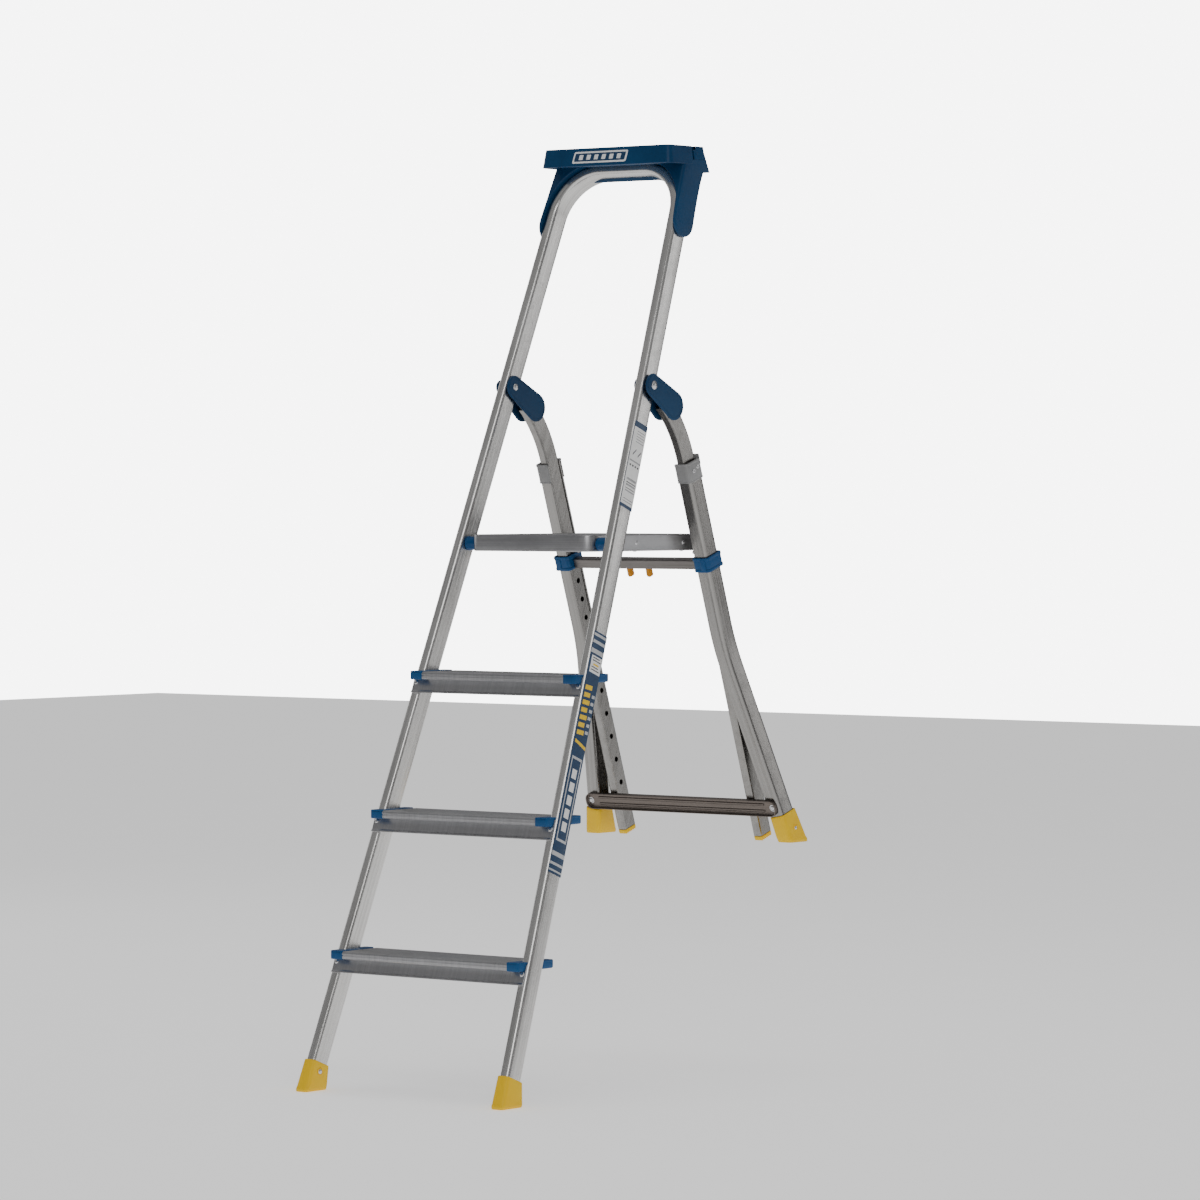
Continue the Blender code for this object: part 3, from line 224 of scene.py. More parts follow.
def piece(name, shells, finishes, body, replaces=(), side=1, crease=38, loop=()):
    """One mesh of closed shells. A shell is rows of closed rings: rows join to rows and both ends are faced.

    UV is (metres along the rows, metres round the ring). Shells in loop join their last row to their first.
    """
    finishes = finishes if isinstance(finishes, (list, tuple)) else [finishes]
    verts, faces, uvs, slots = [], [], [], []
    start = 0
    for number, shell in enumerate(shells):
        grid, which = shell if isinstance(shell, tuple) else (shell, 0)
        grid = np.array(grid) * (side, 1, 1)
        rows, ring = grid.shape[:2]
        closed = number in loop
        i = np.arange(rows if closed else rows - 1)[:, None]
        j = np.arange(ring)[None]
        below, above = i * ring, (i + 1) % rows * ring
        quads = np.stack((below + j, below + (j + 1) % ring, above + (j + 1) % ring, above + j),
                         -1).reshape(-1, 4)
        step = np.linalg.norm(np.roll(grid, -1, 0) - grid, axis=2).mean(1)
        along = np.concatenate(((0,), np.cumsum(step)))
        girth = np.linalg.norm(np.roll(grid, -1, 1) - grid, axis=2)[rows // 2]
        round_ = np.concatenate(((0,), np.cumsum(girth)))
        u = np.stack((along[i], along[i], along[i + 1], along[i + 1]), -1) + np.zeros((1, ring, 1))
        v = np.stack((round_[j], round_[j + 1], round_[j + 1], round_[j]), -1) + np.zeros((len(i), 1, 1))
        corner_uv = np.stack((u, v), -1).reshape(-1, 4, 2)
        flat = grid.reshape(-1, 3)
        centre = flat.mean(0)
        a, b, c, d = (flat[quads[:, k]] - centre for k in range(4))
        volume = (a * np.cross(b, c)).sum() + (a * np.cross(c, d)).sum()
        if not closed:
            for row, sign in ((0, -1), (rows - 1, 1)):
                rim = grid[row] - centre
                hub = rim.mean(0)
                volume += sign * (hub * np.cross(rim, np.roll(rim, -1, 0))).sum()
        if volume < 0:
            quads, corner_uv = quads[:, ::-1], corner_uv[:, ::-1]
        faces += (quads + start).tolist()
        uvs.append(corner_uv.reshape(-1, 2))
        slots += [which] * len(quads)
        if not closed:
            first = np.arange(ring)[::-1]
            last = (rows - 1) * ring + np.arange(ring)
            for cap in (first, last):
                cap = cap[::-1] if volume < 0 else cap
                faces.append((cap + start).tolist())
                uvs.append(flat[cap][:, (0, 2)])
                slots.append(which)
        verts.append(flat)
        start += len(flat)
    mesh = bpy.data.meshes.new(name)
    mesh.from_pydata(np.concatenate(verts).tolist(), [], faces)
    mesh.uv_layers.new(name="UVMap").uv.foreach_set("vector", np.concatenate(uvs).astype(np.float32).ravel())
    mesh.polygons.foreach_set("material_index", np.array(slots, np.int32))
    for finish in finishes:
        mesh.materials.append(finish)
    mesh.shade_smooth()
    mesh.set_sharp_from_angle(angle=math.radians(crease))
    mesh.validate()
    obj = bpy.data.objects.new(name, mesh)
    bpy.context.scene.collection.objects.link(obj)
    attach(obj, body)
    if replaces:
        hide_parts(*replaces)
    return obj


# ------------------------------------------------------------------ finishes

class Nodes:
    """A short way to write a material's nodes."""

    def __init__(self, name):
        self.material = bpy.data.materials.new(name)
        self.material.use_nodes = True
        self.tree = self.material.node_tree
        self.shader = self.tree.nodes["Principled BSDF"]

    def add(self, kind, values=(), **settings):
        """Adds a node, sets its settings, then its sockets by name or number."""
        node = self.tree.nodes.new(kind)
        for key, value in settings.items():
            setattr(node, key, value)
        for key, value in dict(values).items():
            node.inputs[key].default_value = value
        return node

    def join(self, output, socket):
        self.tree.links.new(output, socket)

    def noise(self, source, scale, detail=3.0, stretch=(1, 1, 1), turn=(0, 0, 0), rough=0.55):
        """Noise over a coordinate that is turned, then stretched."""
        place = self.tree.nodes.new("ShaderNodeTexCoord")
        turned_ = self.add("ShaderNodeMapping", {"Rotation": turn})
        spread = self.add("ShaderNodeMapping", {"Scale": stretch})
        noise = self.add("ShaderNodeTexNoise", {"Scale": scale, "Detail": detail, "Roughness": rough})
        self.join(place.outputs[source], turned_.inputs["Vector"])
        self.join(turned_.outputs["Vector"], spread.inputs["Vector"])
        self.join(spread.outputs["Vector"], noise.inputs["Vector"])
        return noise.outputs["Fac"]

    def spread(self, value, low, high, from_low=0.3, from_high=0.7):
        """Value's usual range mapped to low ... high."""
        node = self.add(
            "ShaderNodeMapRange",
            {"From Min": from_low, "From Max": from_high, "To Min": low, "To Max": high},
        )
        self.join(value, node.inputs["Value"])
        return node.outputs["Result"]

    def blend(self, factor, one, two):
        """Colour that goes from one to two with the factor."""
        node = self.add("ShaderNodeMix", data_type="RGBA")
        for socket, colour in ((node.inputs[6], one), (node.inputs[7], two)):
            if isinstance(colour, (tuple, list)):
                socket.default_value = (*colour, 1)
            else:
                self.join(colour, socket)
        self.join(factor, node.inputs[0])
        return node.outputs[2]

    def sum(self, one, two, weight):
        """one + two * weight."""
        node = self.add("ShaderNodeMath", {1: weight}, operation="MULTIPLY_ADD")
        self.join(two, node.inputs[0])
        self.join(one, node.inputs[2])
        return node.outputs[0]

    def bump(self, height, strength, distance):
        node = self.add("ShaderNodeBump", {"Strength": strength, "Distance": distance})
        self.join(height, node.inputs["Height"])
        self.join(node.outputs["Normal"], self.shader.inputs["Normal"])

    def finish(self, **sockets):
        for key, value in sockets.items():
            self.shader.inputs[key.replace("_", " ")].default_value = value
        return self.material


def extruded_metal(name, light, dark, rough, streak=1.0, source="UV", stretch=(3, 900, 1), turn=(0, 0, 0)):
    """Aluminium drawn through a die: fine streaks along its length, dull handling marks, soft mottling."""
    n = Nodes(name)
    fine = n.noise(source, 1.0, 4.0, stretch, turn)
    wide = n.noise(source, 1.0, 2.0, tuple(s * 0.12 for s in stretch), turn)
    mottle = n.noise("Object", 9.0, 3.0)
    marks = n.noise("Object", 46.0, 5.0, rough=0.7)
    tone = n.sum(n.sum(n.spread(fine, 0.0, 0.7), n.spread(wide, 0, 0.6), 0.6), n.spread(mottle, 0, 1), 0.25)
    n.join(n.blend(tone, dark, light), n.shader.inputs["Base Color"])
    dull = n.sum(n.spread(fine, rough - 0.07 * streak, rough + 0.07 * streak),
                 n.spread(marks, 0, 1, 0.5, 0.8), 0.12)
    n.join(n.sum(dull, n.spread(mottle, -0.5, 0.5), 0.08), n.shader.inputs["Roughness"])
    n.bump(n.sum(fine, wide, 0.8), 0.22 * streak, 0.0004)
    return n.finish(Metallic=1.0)


def moulded(name, light, dark, rough, grain=0.25, grain_scale=1500.0, coat=0.0):
    """Moulded plastic: a fine grain, slow changes of tone, and rubbed, lighter patches."""
    n = Nodes(name)
    slow = n.noise("Object", 14.0, 3.0)
    fine = n.noise("Object", grain_scale, 2.0)
    rubbed = n.noise("Object", 85.0, 6.0, rough=0.75)
    tone = n.sum(n.spread(slow, 0.0, 0.8), n.spread(rubbed, 0, 1, 0.55, 0.75), 0.35)
    n.join(n.blend(tone, dark, light), n.shader.inputs["Base Color"])
    n.join(n.sum(n.spread(slow, rough - 0.05, rough + 0.05), n.spread(rubbed, 0, 1, 0.5, 0.8), 0.12),
           n.shader.inputs["Roughness"])
    n.bump(fine, grain, 0.0003)
    return n.finish(Coat_Weight=coat, Coat_Roughness=0.2, Specular_IOR_Level=0.3)


def plated_steel(name, light, dark, rough):
    """Zinc plate: bright, with small spangles and scratches."""
    n = Nodes(name)
    spangle = n.noise("Object", 700.0, 2.0)
    scratch = n.noise("Object", 1.0, 4.0, (300, 40, 2200), (0.4, 0.8, 0.3))
    n.join(n.blend(n.spread(spangle, 0, 1), dark, light), n.shader.inputs["Base Color"])
    n.join(n.sum(n.spread(spangle, rough - 0.05, rough + 0.05), n.spread(scratch, 0, 1, 0.5, 0.8), 0.15),
           n.shader.inputs["Roughness"])
    n.bump(scratch, 0.15, 0.0002)
    return n.finish(Metallic=1.0)


def printed(name, light, dark, rough=0.38):
    """Printed film: an even colour with faint mottle and scuffs."""
    n = Nodes(name)
    mottle = n.noise("Object", 120.0, 4.0)
    scuff = n.noise("Object", 1.0, 5.0, (60, 60, 420), (0.37, 0, 0))
    n.join(n.blend(n.sum(n.spread(mottle, 0, 0.7), n.spread(scuff, 0, 1, 0.55, 0.8), 0.4), dark, light),
           n.shader.inputs["Base Color"])
    n.join(n.spread(scuff, rough - 0.08, rough + 0.12), n.shader.inputs["Roughness"])
    n.bump(scuff, 0.08, 0.0002)
    return n.finish(Coat_Weight=0.3, Coat_Roughness=0.15)


STILE_METAL = extruded_metal("stile_aluminium", (0.80, 0.79, 0.77), (0.36, 0.35, 0.34), 0.24)
LEG_METAL = extruded_metal("leg_aluminium", (0.40, 0.39, 0.375), (0.21, 0.20, 0.19), 0.26)
TREAD_METAL = extruded_metal("tread_aluminium", (0.50, 0.50, 0.51), (0.34, 0.34, 0.35), 0.35,
                             stretch=(900, 3, 1))
RIM_METAL = extruded_metal("platform_aluminium", (0.50, 0.50, 0.51), (0.36, 0.36, 0.37), 0.36,
                           stretch=(3, 900, 1))
# Crossbar aluminium coloured dark all over: painted shade from the platform above it. The same dark metal also
# fills the rivet holes.
PAINTED_SHADE_METAL = extruded_metal(
    "crossbar_metal_painted_shade", (0.27, 0.25, 0.24), (0.14, 0.13, 0.12), 0.38, source="Object", stretch=(4, 700, 700)
)
BRACE_METAL = extruded_metal("brace_metal", (0.22, 0.19, 0.17), (0.12, 0.10, 0.09), 0.40)
STEEL = plated_steel("plated_steel", (0.78, 0.78, 0.79), (0.55, 0.55, 0.56), 0.22)
TRAY_BLUE = moulded("tray_blue", (0.0, 0.055, 0.150), (0.0, 0.036, 0.105), 0.40)
BRACKET_BLUE = moulded("bracket_blue", (0.0, 0.050, 0.135), (0.0, 0.033, 0.096), 0.46, 0.35)
CAP_BLUE = moulded("cap_blue", (0.0, 0.090, 0.260), (0.0, 0.060, 0.190), 0.40, 0.3)
YELLOW = moulded("boot_yellow", (1.0, 0.66, 0.0), (0.98, 0.58, 0.0), 0.38, 0.12)
# Yellow lever plastic coloured a darker orange: painted shade from its place under the platform.
SHADED_LEVER_YELLOW = moulded("lever_yellow_painted_shade", (0.86, 0.36, 0.0), (0.66, 0.24, 0.0), 0.40, 0.12)
PRINTS = [
    printed("label_blue", (0.0, 0.042, 0.120), (0.0, 0.030, 0.090)),
    printed("label_silver", (0.62, 0.63, 0.64), (0.50, 0.51, 0.52)),
    printed("label_white", (0.95, 0.95, 0.94), (0.86, 0.86, 0.85)),
    printed("label_yellow", (1.0, 0.66, 0.0), (0.90, 0.56, 0.0)),
    printed("label_grey", (0.42, 0.42, 0.43), (0.32, 0.32, 0.33)),
    printed("label_dark", (0.10, 0.10, 0.11), (0.06, 0.06, 0.07)),
]
GREY = moulded("collar_grey", (0.42, 0.42, 0.42), (0.30, 0.30, 0.30), 0.44)


# ------------------------------------------------------------------ front frame

ARCH_ALONG = 1.5385 / COS
ARCH_RADIUS = 0.085
SIDE_TILT = math.atan(TAPER * COS)


def arch_path(start=0.011, steps=28):
    """(x, along, outward x, outward along) of the bent tube.

    The stile's line, then an arc that turns from SIDE_TILT to 90 degrees, then the same mirrored.
    """
    centre_along = ARCH_ALONG - ARCH_RADIUS
    centre_x = half_spacing(centre_along * COS) - ARCH_RADIUS / math.cos(SIDE_TILT)
    angle = np.linspace(SIDE_TILT, math.pi / 2, steps + 1)
    straight = np.linspace(start, centre_along + ARCH_RADIUS * math.sin(SIDE_TILT), 40)[:-1]
    x = np.concatenate((half_spacing(straight * COS), centre_x + ARCH_RADIUS * np.cos(angle)))
    along = np.concatenate((straight, centre_along + ARCH_RADIUS * np.sin(angle)))
    turn = np.concatenate((np.full(39, SIDE_TILT), angle))
    x, along = np.concatenate((x, -x[::-1])), np.concatenate((along, along[::-1]))
    turn = np.concatenate((turn, math.pi - turn[::-1]))
    return x, along, np.cos(turn), np.sin(turn)


def front_tube():
    """Bent tube: a round-cornered section whose broad faces swell by 0.8 mm, carried along the arch path."""
    narrow = STILE_HALF_WIDTH - 0.0008
    corners = rounded((-narrow, -STILE_HALF_DEPTH), (narrow, STILE_HALF_DEPTH), 0.0062, 8).reshape(4, 9, 2)
    deep = np.linspace(0.012, -0.012, 7)[:, None]
    right, left = np.hstack((narrow + 0 * deep, -deep)), np.hstack((-narrow + 0 * deep, deep))
    section = np.concatenate((corners[0], corners[1], left, corners[2], corners[3], right))
    swell = 0.0008 * np.clip(section[:, 0] / narrow, -1, 1) * (1 - (section[:, 1] / STILE_HALF_DEPTH) ** 2)
    x, along, out_x, out_along = (values[:, None] for values in arch_path())
    a, b = section[:, 0] + swell, section[:, 1]
    rows = STILE.at(x + a * out_x, along + a * out_along, b + 0 * x)
    piece("front_tube", [rows], STILE_METAL, "front_frame", ("front_frame",), crease=30)


def stile_face(normal):
    """Stile's outer face from its centre line: half the width - 0.0008 * (normal / half depth) ** 2."""
    return STILE_HALF_WIDTH - 0.0008 * (np.asarray(normal) / STILE_HALF_DEPTH) ** 2


def film(low, high, fore, aft, lift, lean=0.0):
    """Thin printed film on the right stile: a strip of its swelled outer face, lifted, its back just inside.

    low and high are heights, fore and aft are places across the stile, and lean slides the strip up the
    stile towards the back.
    """
    n = np.linspace(fore, aft, 9)
    s = np.linspace(low / COS, high / COS, 12)[:, None]
    off = np.concatenate((stile_face(n) + lift, stile_face(n[::-1]) - 0.0004))
    n = np.concatenate((n, n[::-1]))
    s = s + lean * (n - fore)
    return STILE.at(half_spacing(s * COS) + off, s, n + 0 * s)


def stile_labels():
    """Two printed labels on the right stile: plain bands, bars and frames."""
    lower = [(film(0.3684, 0.7575, -0.0172, 0.0172, 0.00025), 0)]
    for low, high in ((0.7502, 0.7545), (0.7388, 0.7437), (0.7230, 0.7300), (0.3962, 0.4030),
                      (0.3822, 0.3862), (0.3722, 0.3750)):
        lower.append((film(low, high, -0.0171, 0.0171, 0.00035), 1))
    lower.append((film(0.6922, 0.7195, -0.0128, 0.0160, 0.00035), 2))
    for row, height in enumerate((0.6962, 0.7006, 0.7112, 0.7154)):
        lower.append((film(height, height + 0.0018, -0.0095, 0.0125 - 0.004 * (row % 2), 0.0004), 5))
    lower.append((film(0.7046, 0.7074, -0.0060, 0.0090, 0.0004), 3))
    for k in range(7):
        low = 0.5905 + 0.0121 * k
        lower.append((film(low, low + 0.0072, -0.0140, 0.0035 - 0.0022 * (k % 2), 0.00035, 0.14), 3))
    for k in range(6):
        low = 0.5960 + 0.0116 * k
        lower.append((film(low, low + 0.0050, 0.0068, 0.0150, 0.00035, 0.1), 1))
    lower.append((film(0.5780, 0.5830, -0.0140, 0.0165, 0.00035, -0.22), 3))
    for low, high, fore, aft in (
        (0.4200, 0.4240, -0.0135, 0.0135), (0.5520, 0.5560, -0.0135, 0.0135),
        (0.4240, 0.5520, -0.0135, -0.0112), (0.4240, 0.5520, 0.0112, 0.0135),
    ):
        lower.append((film(low, high, fore, aft, 0.00035), 1))
    for k in range(5):
        low = 0.4370 + 0.0212 * k
        lower.append((film(low, low + 0.0150, -0.0062, 0.0062, 0.00035), 2))
    piece("lower_label", lower, PRINTS, "front_frame")
    upper = [(film(0.9641, 1.1054, -0.0172, 0.0172, 0.00025), 0),
             (film(0.9695, 1.0959, -0.0171, 0.0171, 0.00035), 2)]
    for k in range(5):
        upper.append((film(1.0725 + 0.0043 * k, 1.0737 + 0.0043 * k, -0.0080, 0.0140 - 0.003 * (k % 2),
                           0.0004), 4))
    for fore in (-0.0095, 0.0045):
        upper.append((film(1.0500, 1.0530, fore, fore + 0.0075, 0.0004, 1.3), 5))
    upper.append((film(1.0400, 1.0425, -0.0150, 0.0160, 0.0004), 4))
    for k in range(4):
        upper.append((film(1.0325, 1.0355, -0.0125 + 0.0070 * k, -0.0085 + 0.0070 * k, 0.0004), 5))
    for k, thick in enumerate((0.0022, 0.0012, 0.0030, 0.0016, 0.0036)):
        upper.append((film(0.9905 + 0.0046 * k, 0.9905 + 0.0046 * k + thick, -0.0120, 0.0135, 0.0004),
                      5 if k % 2 else 4))
    for k in range(2):
        upper.append((film(0.9735 + 0.0042 * k, 0.9748 + 0.0042 * k, -0.0130, 0.0140, 0.0004), 4))
    piece("upper_label", upper, PRINTS, "front_frame")


def boot(name, sole, top, rim, body, replaces, side):
    """Boot skin: rows from the sole's outline to the top's by t + 0.22 t (1 - t), with a rolled rim."""
    t = np.array((0.0, 0.0, 0.02, 0.05, 0.15, 0.3, 0.45, 0.6, 0.75, 0.88, 1.0))[:, None, None]
    ins = np.array((0.0022, 0.0014, 0.0004, 0, 0, 0, 0, 0, 0, 0, 0))
    flare = t + 0.22 * t * (1 - t)
    low = drawn_in(sole[:, :2], ins)
    height = np.array((0, 0.0002, 0.001, 0.0026))
    lift = np.concatenate((height, np.zeros(7)))[:, None]
    start = np.concatenate((low, np.broadcast_to(sole[:, 2], low.shape[:2])[..., None] + lift[..., None]), -1)
    rows = start * (1 - flare) + top[None] * flare
    hub = top.mean(0)
    roll = np.linspace(0, math.pi * 0.5, 5)[1:, None, None]
    lip = top[None] + (hub - top)[None] * 0.09 * (1 - np.cos(roll)) + rim[None, None] * 0.0012 * np.sin(roll)
    sunk = lip[-1:] - rim * 0.003 + (hub - lip[-1:]) * 0.02
    return piece(name, [np.concatenate((rows, lip, sunk))], YELLOW, body, replaces, side)


def front_boots():
    """Front boots: a round-cornered sole, level in plan, and a round-cornered top, square to the stile."""
    for side, word in SIDES:
        centre, x = half_spacing(0), half_spacing(0.048 * COS)
        plan = rounded((centre - 0.0135, -0.0225), (centre + 0.0135, 0.0335), 0.007)
        sole = WORLD.at(plan[:, 0], plan[:, 1], np.zeros(len(plan)))
        edge = rounded((x - 0.0117, -0.0217), (x + 0.0117, 0.0217), 0.0062)
        top = STILE.at(edge[:, 0], np.full(len(edge), 0.048), edge[:, 1])
        boot(f"boot_{word}", sole, top, STILE.along, "front_frame", (f"front_foot_{word}",), side)
        face = half_spacing(0.034 * COS) - 0.0124
        head = turned(dome(0.0, 0.0016, 0.0046, 0.004), (0.034, 0), lambda a, b, t: STILE.at(face - t, a, b))
        dimple = turned(
            [(0.0003, 0.0062), (0.0010, 0.0058), (0.0010, 0.0050), (-0.001, 0.0050)], (0.034, 0),
            lambda a, b, t: STILE.at(face - t, a, b),
        )
        piece(f"boot_screw_{word}", [head], STEEL, "front_frame", (f"front_foot_rivet_{word}",),
              side)
        piece(f"boot_screw_seat_{word}", [dimple], YELLOW, "front_frame", side=side)


# ------------------------------------------------------------------ treads

NOSE, REAR = 0.0215, 0.0685


def ribbed(low, high, top, pitch=0.0046, depth=0.0009):
    """(y, z) of a ribbed top: z = top - depth * (1 - |cos(pi y / pitch)|) ** 2, faded out at both edges."""
    y = np.linspace(low, high, int(round((high - low) / pitch)) * 8 + 1)
    fade = np.clip(np.minimum(y - low, high - y) / 0.002, 0, 1)
    return np.stack((y, top - depth * fade * (1 - np.abs(np.cos(math.pi * (y - low) / pitch))) ** 2), 1)


def tread(k, top):
    """Tread: ribbed top, bull nose, riser down the stiles' front, rear lip; outlines carried along x."""
    nose, rear = front_plane(top) - NOSE, front_plane(top) + REAR
    ribs = ribbed(nose + 0.004, rear - 0.003, top)
    turn = np.linspace(0, math.pi / 2, 6)
    bull = np.stack((nose + 0.0036 * (1 - np.cos(turn)), top - 0.0036 * (1 - np.sin(turn))), 1)
    back = np.stack((rear - 0.002 * (1 - np.sin(turn)), top - 0.002 * (1 - np.cos(turn))), 1)
    shelf = top - 0.0130
    under = [
        (rear, top - 0.0125), (rear - 0.0012, top - 0.0132), (rear - 0.0042, top - 0.0128),
        (rear - 0.0042, top - 0.0112),
        (rear - 0.002, top - 0.0108), (rear - 0.002, top - 0.003), (front_plane(top) + 0.004, top - 0.003),
        (front_plane(top) + 0.001, shelf + 0.001), (nose + 0.0014, shelf), (nose, shelf + 0.0014),
        (nose, top - 0.0082), (nose + 0.0009, top - 0.0076), (nose + 0.0009, top - 0.0066),
        (nose, top - 0.0060),
    ]
    outline = np.concatenate((bull, ribs, back, under))
    half = half_spacing(top) - 0.0205
    riser = [
        (top - 0.003, 0.0), (top - 0.032, 0.0), (top - 0.0335, -0.0012), (top - 0.0355, -0.0012),
        (top - 0.036, -0.0004),
        (top - 0.036, 0.0024), (top - 0.003, 0.0024),
    ]
    riser = np.array([(front_plane(z) - 0.0023 + shift, z) for z, shift in riser])
    reach = half_spacing(top) + 0.0072
    shells = [block(outline, -half, half, 0.0002, along_x(WORLD), 1),
              block(riser, -reach, reach, 0.0002, along_x(WORLD), 1)]
    piece(f"tread_{k}_profile", shells, TREAD_METAL, "front_frame", (f"tread_{k}",),
          crease=25)


def tread_cap(k, top, side, word):
    """End cap: a C-shaped plan round the stile, carried upwards with soft edges, and blocks below it."""
    x = half_spacing(top)
    nose, rear = front_plane(top) - NOSE - 0.0012, front_plane(top) + REAR + 0.0012
    inner, outer = x - 0.0213, x + 0.0058
    front, behind = front_plane(top) + 0.004, front_plane(top) + 2 * STILE_HALF_DEPTH / COS - 0.004
    plan = filleted(
        [
            (inner, nose), (outer - 0.002, nose), (outer, front), (x - 0.006, front),
            (x - 0.006, behind), (outer + 0.001, behind),
            (outer, rear - 0.004), (outer - 0.004, rear), (x - 0.0125, rear), (inner + 0.003, behind),
            (inner, front),
        ],
        (0.003, 0.003, 0.001, 0.001, 0.001, 0.001, 0.002, 0.002, 0.002, 0.004, 0.01), 4,
    )
    rear_plan = filleted(
        [(x - 0.0125, behind), (outer + 0.001, behind), (outer, rear - 0.004), (outer - 0.004, rear),
         (x - 0.0125, rear)], 0.002, 4
    )
    front_plan = filleted([(inner, nose), (outer - 0.002, nose), (outer, front), (inner, front)], 0.003, 4)
    shells = [
        block(plan, top - 0.0034, top + 0.0008, 0.0012, upwards),
        block(front_plan, top - 0.0140, top + 0.0002, 0.0020, upwards),
        block(rear_plan, top - 0.0132, top + 0.0002, 0.0030, upwards),
        block(rounded((x - 0.0128, front), (x - 0.0094, rear - 0.002), 0.001), top - 0.0125, top, 0.001,
              upwards),
    ]
    piece(f"cap_{k}_{word}", shells, CAP_BLUE, "front_frame", (f"tread_cap_{k}_{word}",),
          side)


def treads():
    for k in (1, 2, 3):
        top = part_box(f"tread_{k}")[1].z
        tread(k, top)
        for side, word in SIDES:
            tread_cap(k, top, side, word)
            centre = middle(f"tread_rivet_{k}_{word}")
            place = Axes(centre, STILE.along, STILE.across)
            low = -0.0016
            head = turned(dome(0.0, 0.0019, 0.0044, 0.004), (0, 0), lambda a, b, t: place.at(a, b, -t + low))
            ring = turned([(-0.001, 0.0052), (0.0003, 0.0052), (0.0006, 0.0048), (0.0006, 0.002)], (0, 0),
                          lambda a, b, t: place.at(a, b, -t + low))
            piece(f"tread_stud_{k}_{word}", [head, ring], STEEL, "front_frame",
                  (f"tread_rivet_{k}_{word}",))


# ------------------------------------------------------------------ tool tray

TRAY_TOP = float(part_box("top_tray")[1].z)
TRAY_FRONT = float(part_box("top_tray")[0].y) - STILE_FOOT_Y
TRAY_TAIL = TRAY_FRONT + 0.101


def tray_side(z):
    """Half the tray's width at a height: straight lines between four heights below the rim."""
    return np.interp(z, (TRAY_TOP - 0.155, TRAY_TOP - 0.139, TRAY_TOP - 0.031, TRAY_TOP),
                     (0.1488, 0.1477, 0.1397, 0.1352))


def bend_outside(s):
    """x of the tube's outer side along the stile: the stile's line, then the bend's outer circle."""
    centre_s = ARCH_ALONG - ARCH_RADIUS
    centre_x = half_spacing(centre_s * COS) - ARCH_RADIUS / math.cos(SIDE_TILT)
    radius = ARCH_RADIUS + STILE_HALF_WIDTH + 0.0003
    up = np.clip((s - centre_s) / radius, 0, 0.995)
    straight = half_spacing(s * COS) + (STILE_HALF_WIDTH + 0.0003) / math.cos(SIDE_TILT)
    return np.where(s > centre_s + 0.01, centre_x + radius * np.sqrt(1 - up**2), straight)


def tray_arms():
    """Arms: closed rings round (x, n), from the tube's outer side to the tray's, down to a round end.

    Near the lower end the ring's depth follows a half circle; near the top it is cut level under the recess.
    """
    bottom, radius = (TRAY_TOP - 0.1545) / COS, 0.0275
    turn = np.linspace(0.12, math.pi / 2, 12)
    top = (TRAY_TOP - 0.0235 + 0.04 * SIN) / COS
    s = np.concatenate((bottom + radius * (1 - np.cos(turn)),
                        np.linspace(bottom + radius, top, 34)[1:]))[:, None]
    half = np.concatenate((radius * np.sin(turn), np.full(33, radius)))[:, None]
    rise = np.clip((s - bottom - radius) / (top - bottom - radius), 0, 1)
    fore, aft = 0.0008 - half, 0.0008 + half + 0.010 * rise**3
    quarter = np.linspace(0, math.pi / 2, 6)[None]
    outer_round = np.minimum(0.0030 + 0.0060 * rise, half)
    inner_round = np.minimum(0.0014, half)
    cos, sin = np.cos(quarter), np.sin(quarter)
    n = np.concatenate(
        (aft - outer_round + outer_round * sin, aft - inner_round + inner_round * cos,
         fore + inner_round - inner_round * sin, fore + outer_round - outer_round * cos), 1,
    )
    inwards = np.concatenate(
        (outer_round * (1 - cos), inner_round * (1 - sin), inner_round * (1 - cos),
         outer_round * (1 - sin)), 1,
    )
    s = np.minimum(s, (TRAY_TOP - 0.0235 + n * SIN) / COS)
    z = s * COS - n * SIN
    outer = np.zeros(n.shape, bool)
    outer[:, :6] = outer[:, 18:] = True
    x = np.where(outer, tray_side(z) - inwards, np.minimum(bend_outside(s), tray_side(z) - 0.003) + inwards)
    return STILE.at(x, s, n)


